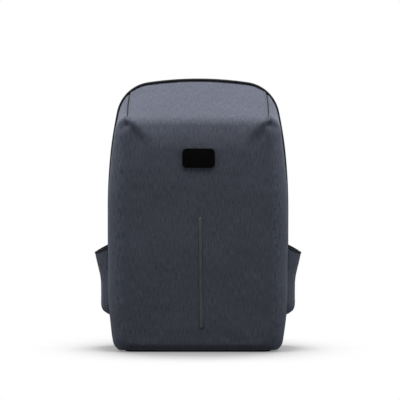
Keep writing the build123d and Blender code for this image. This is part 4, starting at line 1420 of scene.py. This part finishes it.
def make_strap_stitches(name):
    runs = []
    for u in (-0.79, 0.79):
        runs.append(strap_line(u, -0.9, 122, 408))
    for dx in (-10.6, 10.6):
        p, n = strap_line(0, 1.0, 128, 326)
        runs.append((p + [dx, 0, 0], n))
    for z in (327, 225, 132):
        p, n = strap_line(0, 1.3, z - 4, z + 4)
        c = p.mean(0)
        line = np.array([c + [u, 0, dz] for dz, us in ((-1.6, (-10.5, 10.5)), (0, (10.5, -10.5)),
                                                        (1.6, (-10.5, 10.5))) for u in us])
        runs.append((along(line, np.linspace(0, 1, 60)), n.mean(0)))
    return stitches(name, runs, GREY_THREAD, pitch=3.2, length=2.2, radius=0.3)


def make_tail(name):
    """The loose end: up behind the buckle, over its middle bar and down in front."""
    side = [(63.4, 86), (63.4, 92), (63.5, 97.2), (64.4, 100.3), (67.5, 101.6), (70.6, 100.3),
            (71.7, 97.0), (72.0, 90), (72.3, 76), (72.9, 58), (72.6, 42), (71.9, 30), (71.8, 24.5)]
    path = np.array([(BUCKLE_X, y, z) for y, z in side])
    path = spline(path, 90)
    path[:, 0] += 1.5 * smooth(90, 25, path[:, 2]) * np.linspace(0, 1, 90) ** 2
    t = unit(np.gradient(path, axis=0))
    normal = np.cross(t, np.broadcast_to([1.0, 0, 0], t.shape))
    thickness = 1.5 + 1.4 * smooth(39, 37.5, path[:, 2]) * (np.arange(90) > 45)
    return ribbon(name, path, normal, 24.6, thickness, WEBBING)


def make_lower_webbing(name):
    """Webbing from its anchor at the bottom corner up to the buckle."""
    pts = [(126.5, 51.4, 14.5), (122.0, 52.6, 24), (116.5, 54.4, 36), (107.5, 57.6, 54),
           (97.0, 61.4, 74), (88.5, 63.4, 86), (86.0, 63.75, 93.5)]
    path = spline(pts, 60)
    return ribbon(name, path, (-0.1, 1, -0.25), 25, 1.5, WEBBING)


def make_anchor(name):
    """A folded triangle of cloth that takes the webbing's end."""
    poly = np.array([(97.5, 13.5), (137, 13.5), (140.5, 40), (124, 52.5), (113, 40)])
    loop = []
    for i in range(len(poly)):
        a, b, c = poly[i - 1], poly[i], poly[(i + 1) % len(poly)]
        p, q = b + unit(a - b) * 4, b + unit(c - b) * 4
        for t in np.linspace(0, 1, 5):
            loop.append((1 - t) ** 2 * p + 2 * t * (1 - t) * b + t * t * q)
    loop = along(np.array(loop + [loop[0]]), np.linspace(0, 1, 61))[:-1]
    centre = loop.mean(0)
    n = len(loop)
    rows = []
    for k, y in ((1.0, 49.9), (1.0, 51.2), (0.975, 51.9), (0.9, 52.2), (0.6, 52.3), (0.3, 52.35)):
        ring = centre + (loop - centre) * k
        rows.append(np.stack([ring[:, 0], np.full(n, y), ring[:, 1]], -1))
    verts = np.concatenate(rows + [np.array([[centre[0], 52.35, centre[1]]])])
    faces = grid_faces(len(rows), n, wrap_columns=True)
    last = (len(rows) - 1) * n
    faces += [(last + j, last + (j + 1) % n, len(verts) - 1) for j in range(n)]
    faces.append(tuple(range(n)))
    return piece(name, verts, faces, BINDING, verts[:, [0, 2]])


def make_anchor_stitches(name):
    poly = np.array([(103, 16.5), (134.5, 16.5), (137.3, 38), (124, 49), (115.0, 39), (103, 16.5)])
    path = along(poly, np.linspace(0, 1, 80))
    path = np.stack([path[:, 0], np.full(80, 52.45), path[:, 1]], -1)
    return stitches(name, [(path, (0, 1, 0))], GREY_THREAD, pitch=2.8, length=2.0, radius=0.28)


def rect_patch(x0, x1, z0, z1, r, y0, y1, material, name):
    """A sewn rectangle of tape with soft edges."""
    cx, cz, hu, hv = (x0 + x1) / 2, (z0 + z1) / 2, (x1 - x0) / 2, (z1 - z0) / 2
    rows = []
    for inset, y in ((0, y0), (0, y0 + (y1 - y0) * 0.6), (0.5, y1), (3, y1 + 0.05)):
        p = rounded_path(cx, cz, hu - inset, hv - inset, max(r - inset, 0.4), y)[:-1]
        rows.append(p)
    n = len(rows[0])
    verts = np.concatenate(rows)
    faces = grid_faces(len(rows), n, wrap_columns=True)
    faces += [tuple(range(n)), tuple(range(3 * n, 4 * n))]
    return piece(name, verts, faces, material, verts[:, [0, 2]])


def make_strap_patch(name):
    return rect_patch(21, 89, 404, 420, 3, 49.8, 50.9, BINDING, name)


def make_handle_patch(name):
    return rect_patch(43, 64, 420.5, 443.5, 3, 49.8, 50.9, BINDING, name)


def make_straps():
    both(make_strap_pad, "strap_cushion", "SIDE_strap", "mesh_fabric", "SIDE_strap_pad")
    both(make_strap_edge, "strap_binding", "SIDE_strap", "dark_fabric")
    both(make_strap_webbing, "strap_webbing", "SIDE_strap", "webbing", "SIDE_pad_loop")
    both(make_strap_stitches, "strap_stitches", "SIDE_strap", "dark_fabric")
    both(make_tail, "webbing_tail", "SIDE_buckle", "webbing", "SIDE_strap_tail")
    both(make_anchor, "anchor_cloth", "back_panel", "dark_fabric", "SIDE_webbing_anchor")
    both(make_anchor_stitches, "anchor_stitches", "back_panel", "dark_fabric")
    both(make_strap_patch, "strap_yoke", "back_panel", "dark_fabric", "SIDE_strap_patch")
    both(make_handle_patch, "handle_yoke", "back_panel", "dark_fabric", "SIDE_handle_patch")
    right = make_lower_webbing("right_webbing")
    left = mirrored(right, "left_webbing")
    for side, obj in (("right", right), ("left", left)):
        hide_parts(side + "_lower_webbing")
        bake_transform(obj)


# ---------------------------------------------------------------- what stays as CAD
def bevel_cad(name, width, segments=2):
    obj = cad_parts[name]
    m = obj.modifiers.new("edges", "BEVEL")
    m.width = width * MM
    m.segments = segments
    m.limit_method = "ANGLE"
    m.angle_limit = math.radians(35)
    m.harden_normals = False


def paint_cad(name, material, bevel=0.0):
    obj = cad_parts[name]
    if not obj.material_slots:
        obj.data.materials.append(material)
    for s in obj.material_slots:
        s.material = material
    if bevel:
        bevel_cad(name, bevel)


def make_cell():
    material, nodes, links, shader = new_material("solar_cell")
    calc = partial(math_node, nodes, links)
    where = nodes.new("ShaderNodeTexCoord")
    split = nodes.new("ShaderNodeSeparateXYZ")
    links.new(where.outputs["Object"], split.inputs[0])
    fingers = calc("SINE", calc("MULTIPLY", split.outputs[2], 4200.0))
    fingers = calc("GREATER_THAN", fingers, 0.9)
    bars = calc("SINE", calc("MULTIPLY", split.outputs[0], 420.0))
    bars = calc("GREATER_THAN", bars, 0.985)
    lines = calc("MAXIMUM", fingers, bars)
    links.new(ramp(nodes, links, lines, [(0.0, (0.0015, 0.0017, 0.004)), (1.0, (0.010, 0.010, 0.012))]),
              shader.inputs["Base Color"])
    shader.inputs["Roughness"].default_value = 0.35
    return material


def make_glass():
    material, nodes, links, shader = new_material("smoked_cover")
    set_inputs(shader, Base_Color=(0.0015, 0.0015, 0.002, 1), Roughness=0.12, Specular_IOR_Level=0.2,
               Alpha=0.72)
    where = nodes.new("ShaderNodeTexCoord")
    n = node(nodes, "ShaderNodeTexNoise", Scale=220.0, Detail=2.0)
    links.new(where.outputs["Object"], n.inputs["Vector"])
    relief_from(nodes, links, shader, n.outputs["Fac"], 0.02, 0.0002)
    return material


def make_bank_pocket():
    """A cloth pocket that holds the power bank against the front."""
    x, y0, y1, z0, z1 = 38.5, -62.0, -42.4, 56.5, 149.0
    rows, cols = 30, 47
    verts, cloth = [], []
    for i in range(rows):
        v = i / (rows - 1)
        z = z0 + v * (z1 - z0)
        for j in range(cols):
            u = j / (cols - 1)
            a = u * 3 - 1.5
            px = x * min(max(a, -1), 1)
            side = max(abs(a) - 1, 0) / 0.5
            py = y1 + (y0 - y1) * side + 0.35 * math.sin(z / 9) * (1 - side)
            if v < 0.08 and side == 0:
                py -= (1 - v / 0.08) ** 2 * 3
            verts.append((px, py, z))
            cloth.append((a * x, z))
    obj = piece("bank_pouch", verts, grid_faces(rows, cols), LINING, cloth)
    thicken(obj, 1, 0)
    dressed(obj, "front_shell", "dark_fabric", "bank_pocket")
    top = [verts[(rows - 1) * cols + j] for j in range(cols)]
    obj = tube("pouch_binding", top, 1.3, BINDING, sides=8)
    dressed(obj, "front_shell", "dark_fabric")


BACK_CLOTH = woven("back_cloth", (0.012, 0.012, 0.014), (0.036, 0.037, 0.042), yarn=0.8, slub=0.9,
                   roughness=0.8, relief=0.5)
REFLECTIVE = moulded("reflective", (0.115, 0.118, 0.125), roughness=0.5, grain=0.5, scale=1600.0,
                     vary=0.15)
POTTING = moulded("green_board", (0.01, 0.07, 0.03), roughness=0.5)
FOIL = moulded("cell_foil", (0.35, 0.36, 0.38), roughness=0.4, metallic=0.8, grain=0.4)

make_lining()
make_rim()
make_zip()
both(make_pocket, "pocket", "front_shell", "heather_fabric", "SIDE_side_pocket")
both(pocket_edge, "pocket_tape", "front_shell", "dark_fabric", "SIDE_pocket_binding")
both(pocket_seam, "pocket_stitches", "front_shell", "heather_fabric")
make_strip()
make_seams()
make_back_cover()
make_pads()
make_hinge()
make_sole()
make_sleeve()
make_handle()
make_straps()
make_bank_pocket()
for name, material, width in (
        ("solar_bezel", GLOSS, 0.5), ("solar_cell", make_cell(), 0),
        ("solar_cover_glass", make_glass(), 0.2), ("gland_nut", PLASTIC, 0.3),
        ("bank_front_case", PLASTIC, 1.2), ("bank_rear_case", PLASTIC, 1.2),
        ("battery_cell", FOIL, 0.8), ("charge_board", POTTING, 0.0), ("solar_lead", RUBBER, 0),
        ("usb_lead", RUBBER, 0), ("usb_port", PLASTIC, 0.4), ("usb_cover", RUBBER, 0.35),
        ("base_hinge_welt", RUBBER, 0), ("zip_slider", METAL, 0.35),
        ("zip_pull", METAL, 0.35), ("left_ladder_lock", PLASTIC, 0.5),
        ("right_ladder_lock", PLASTIC, 0.5)):
    paint_cad(name, material, width)


# ---------------------------------------------------------------- stage, light and camera
def stage_and_light():
    scene = bpy.context.scene
    scene.view_settings.view_transform = "Standard"
    scene.view_settings.look = "None"
    scene.view_settings.exposure = 0
    scene.view_settings.gamma = 1
    world = bpy.data.worlds.new("studio")
    scene.world = world
    world.use_nodes = True
    nodes, links = world.node_tree.nodes, world.node_tree.links
    back = nodes["Background"]
    back.inputs["Color"].default_value = (1, 1, 1, 1)
    back.inputs["Strength"].default_value = 0.09
    seen = nodes.new("ShaderNodeBackground")
    seen.inputs["Color"].default_value = (1, 1, 1, 1)
    seen.inputs["Strength"].default_value = 1.0
    path = nodes.new("ShaderNodeLightPath")
    mix = nodes.new("ShaderNodeMixShader")
    links.new(path.outputs["Is Camera Ray"], mix.inputs[0])
    links.new(back.outputs[0], mix.inputs[1])
    links.new(seen.outputs[0], mix.inputs[2])
    links.new(mix.outputs[0], nodes["World Output"].inputs["Surface"])

    bpy.ops.mesh.primitive_circle_add(vertices=96, radius=1.5, fill_type="NGON", location=(0, 0, 0))
    floor = bpy.context.object
    floor.name = "floor"
    material, fnodes, flinks, shader = new_material("floor_glow_painted_shadow")
    # A white glowing sweep with a painted contact shadow: its glow darkens softly by ambient occlusion
    # where the bag closes it in.
    closed = node(fnodes, "ShaderNodeAmbientOcclusion", Distance=0.22)
    closed.samples = 16
    shade = ramp(fnodes, flinks, closed.outputs["AO"], [
        (0.0, (0.20, 0.20, 0.20)), (0.5, (0.42, 0.42, 0.42)), (0.92, (1.0, 1.0, 1.0))])
    flinks.new(shade, shader.inputs["Emission Color"])
    set_inputs(shader, Base_Color=(0.0, 0.0, 0.0, 1), Roughness=1.0, Specular_IOR_Level=0.0,
               Emission_Strength=1.0)
    floor.data.materials.append(material)
    floor.visible_diffuse = False
    floor.visible_glossy = False

    def area(name, location, target, size, power, colour=(1, 1, 1)):
        data = bpy.data.lights.new(name, "AREA")
        data.shape = "RECTANGLE"
        data.size, data.size_y = size
        data.energy = power
        data.spread = math.pi
        data.color = colour
        obj = bpy.data.objects.new(name, data)
        obj.location = location
        obj.rotation_euler = (Vector(target) - Vector(location)).to_track_quat("-Z", "Y").to_euler()
        bpy.context.scene.collection.objects.link(obj)

    area("top_box", (0, -0.27, 1.9), (0, 0, 0.3), (1.6, 1.2), 46)
    area("left_box", (-1.5, -0.4, 0.55), (0, 0, 0.25), (0.9, 1.3), 8.3, colour=(0.88, 0.94, 1))
    area("right_box", (1.5, -0.4, 0.55), (0, 0, 0.25), (0.9, 1.3), 8.3, colour=(0.88, 0.94, 1))
    area("front_box", (0, -2.4, 0.5), (0, 0, 0.22), (1.4, 0.9), 0.8)
    area("back_box", (0, 2.2, 0.9), (0, 0, 0.25), (1.6, 1.0), 24)


def make_camera():
    """The photograph's view: from the front, a little above, with a long lens."""
    data = bpy.data.cameras.new("camera")
    distance, frame_width = 4.2, 0.6616
    data.sensor_width = 36
    elevation = math.radians(3.0)
    target = Vector((0.0033, -0.03, 0.2498))
    data.lens = 36 * distance / frame_width
    obj = bpy.data.objects.new("camera", data)
    obj.location = target + distance * Vector((0, -math.cos(elevation), math.sin(elevation)))
    obj.rotation_euler = (target - obj.location).to_track_quat("-Z", "Y").to_euler()
    bpy.context.scene.collection.objects.link(obj)
    bpy.context.scene.camera = obj


stage_and_light()
make_camera()
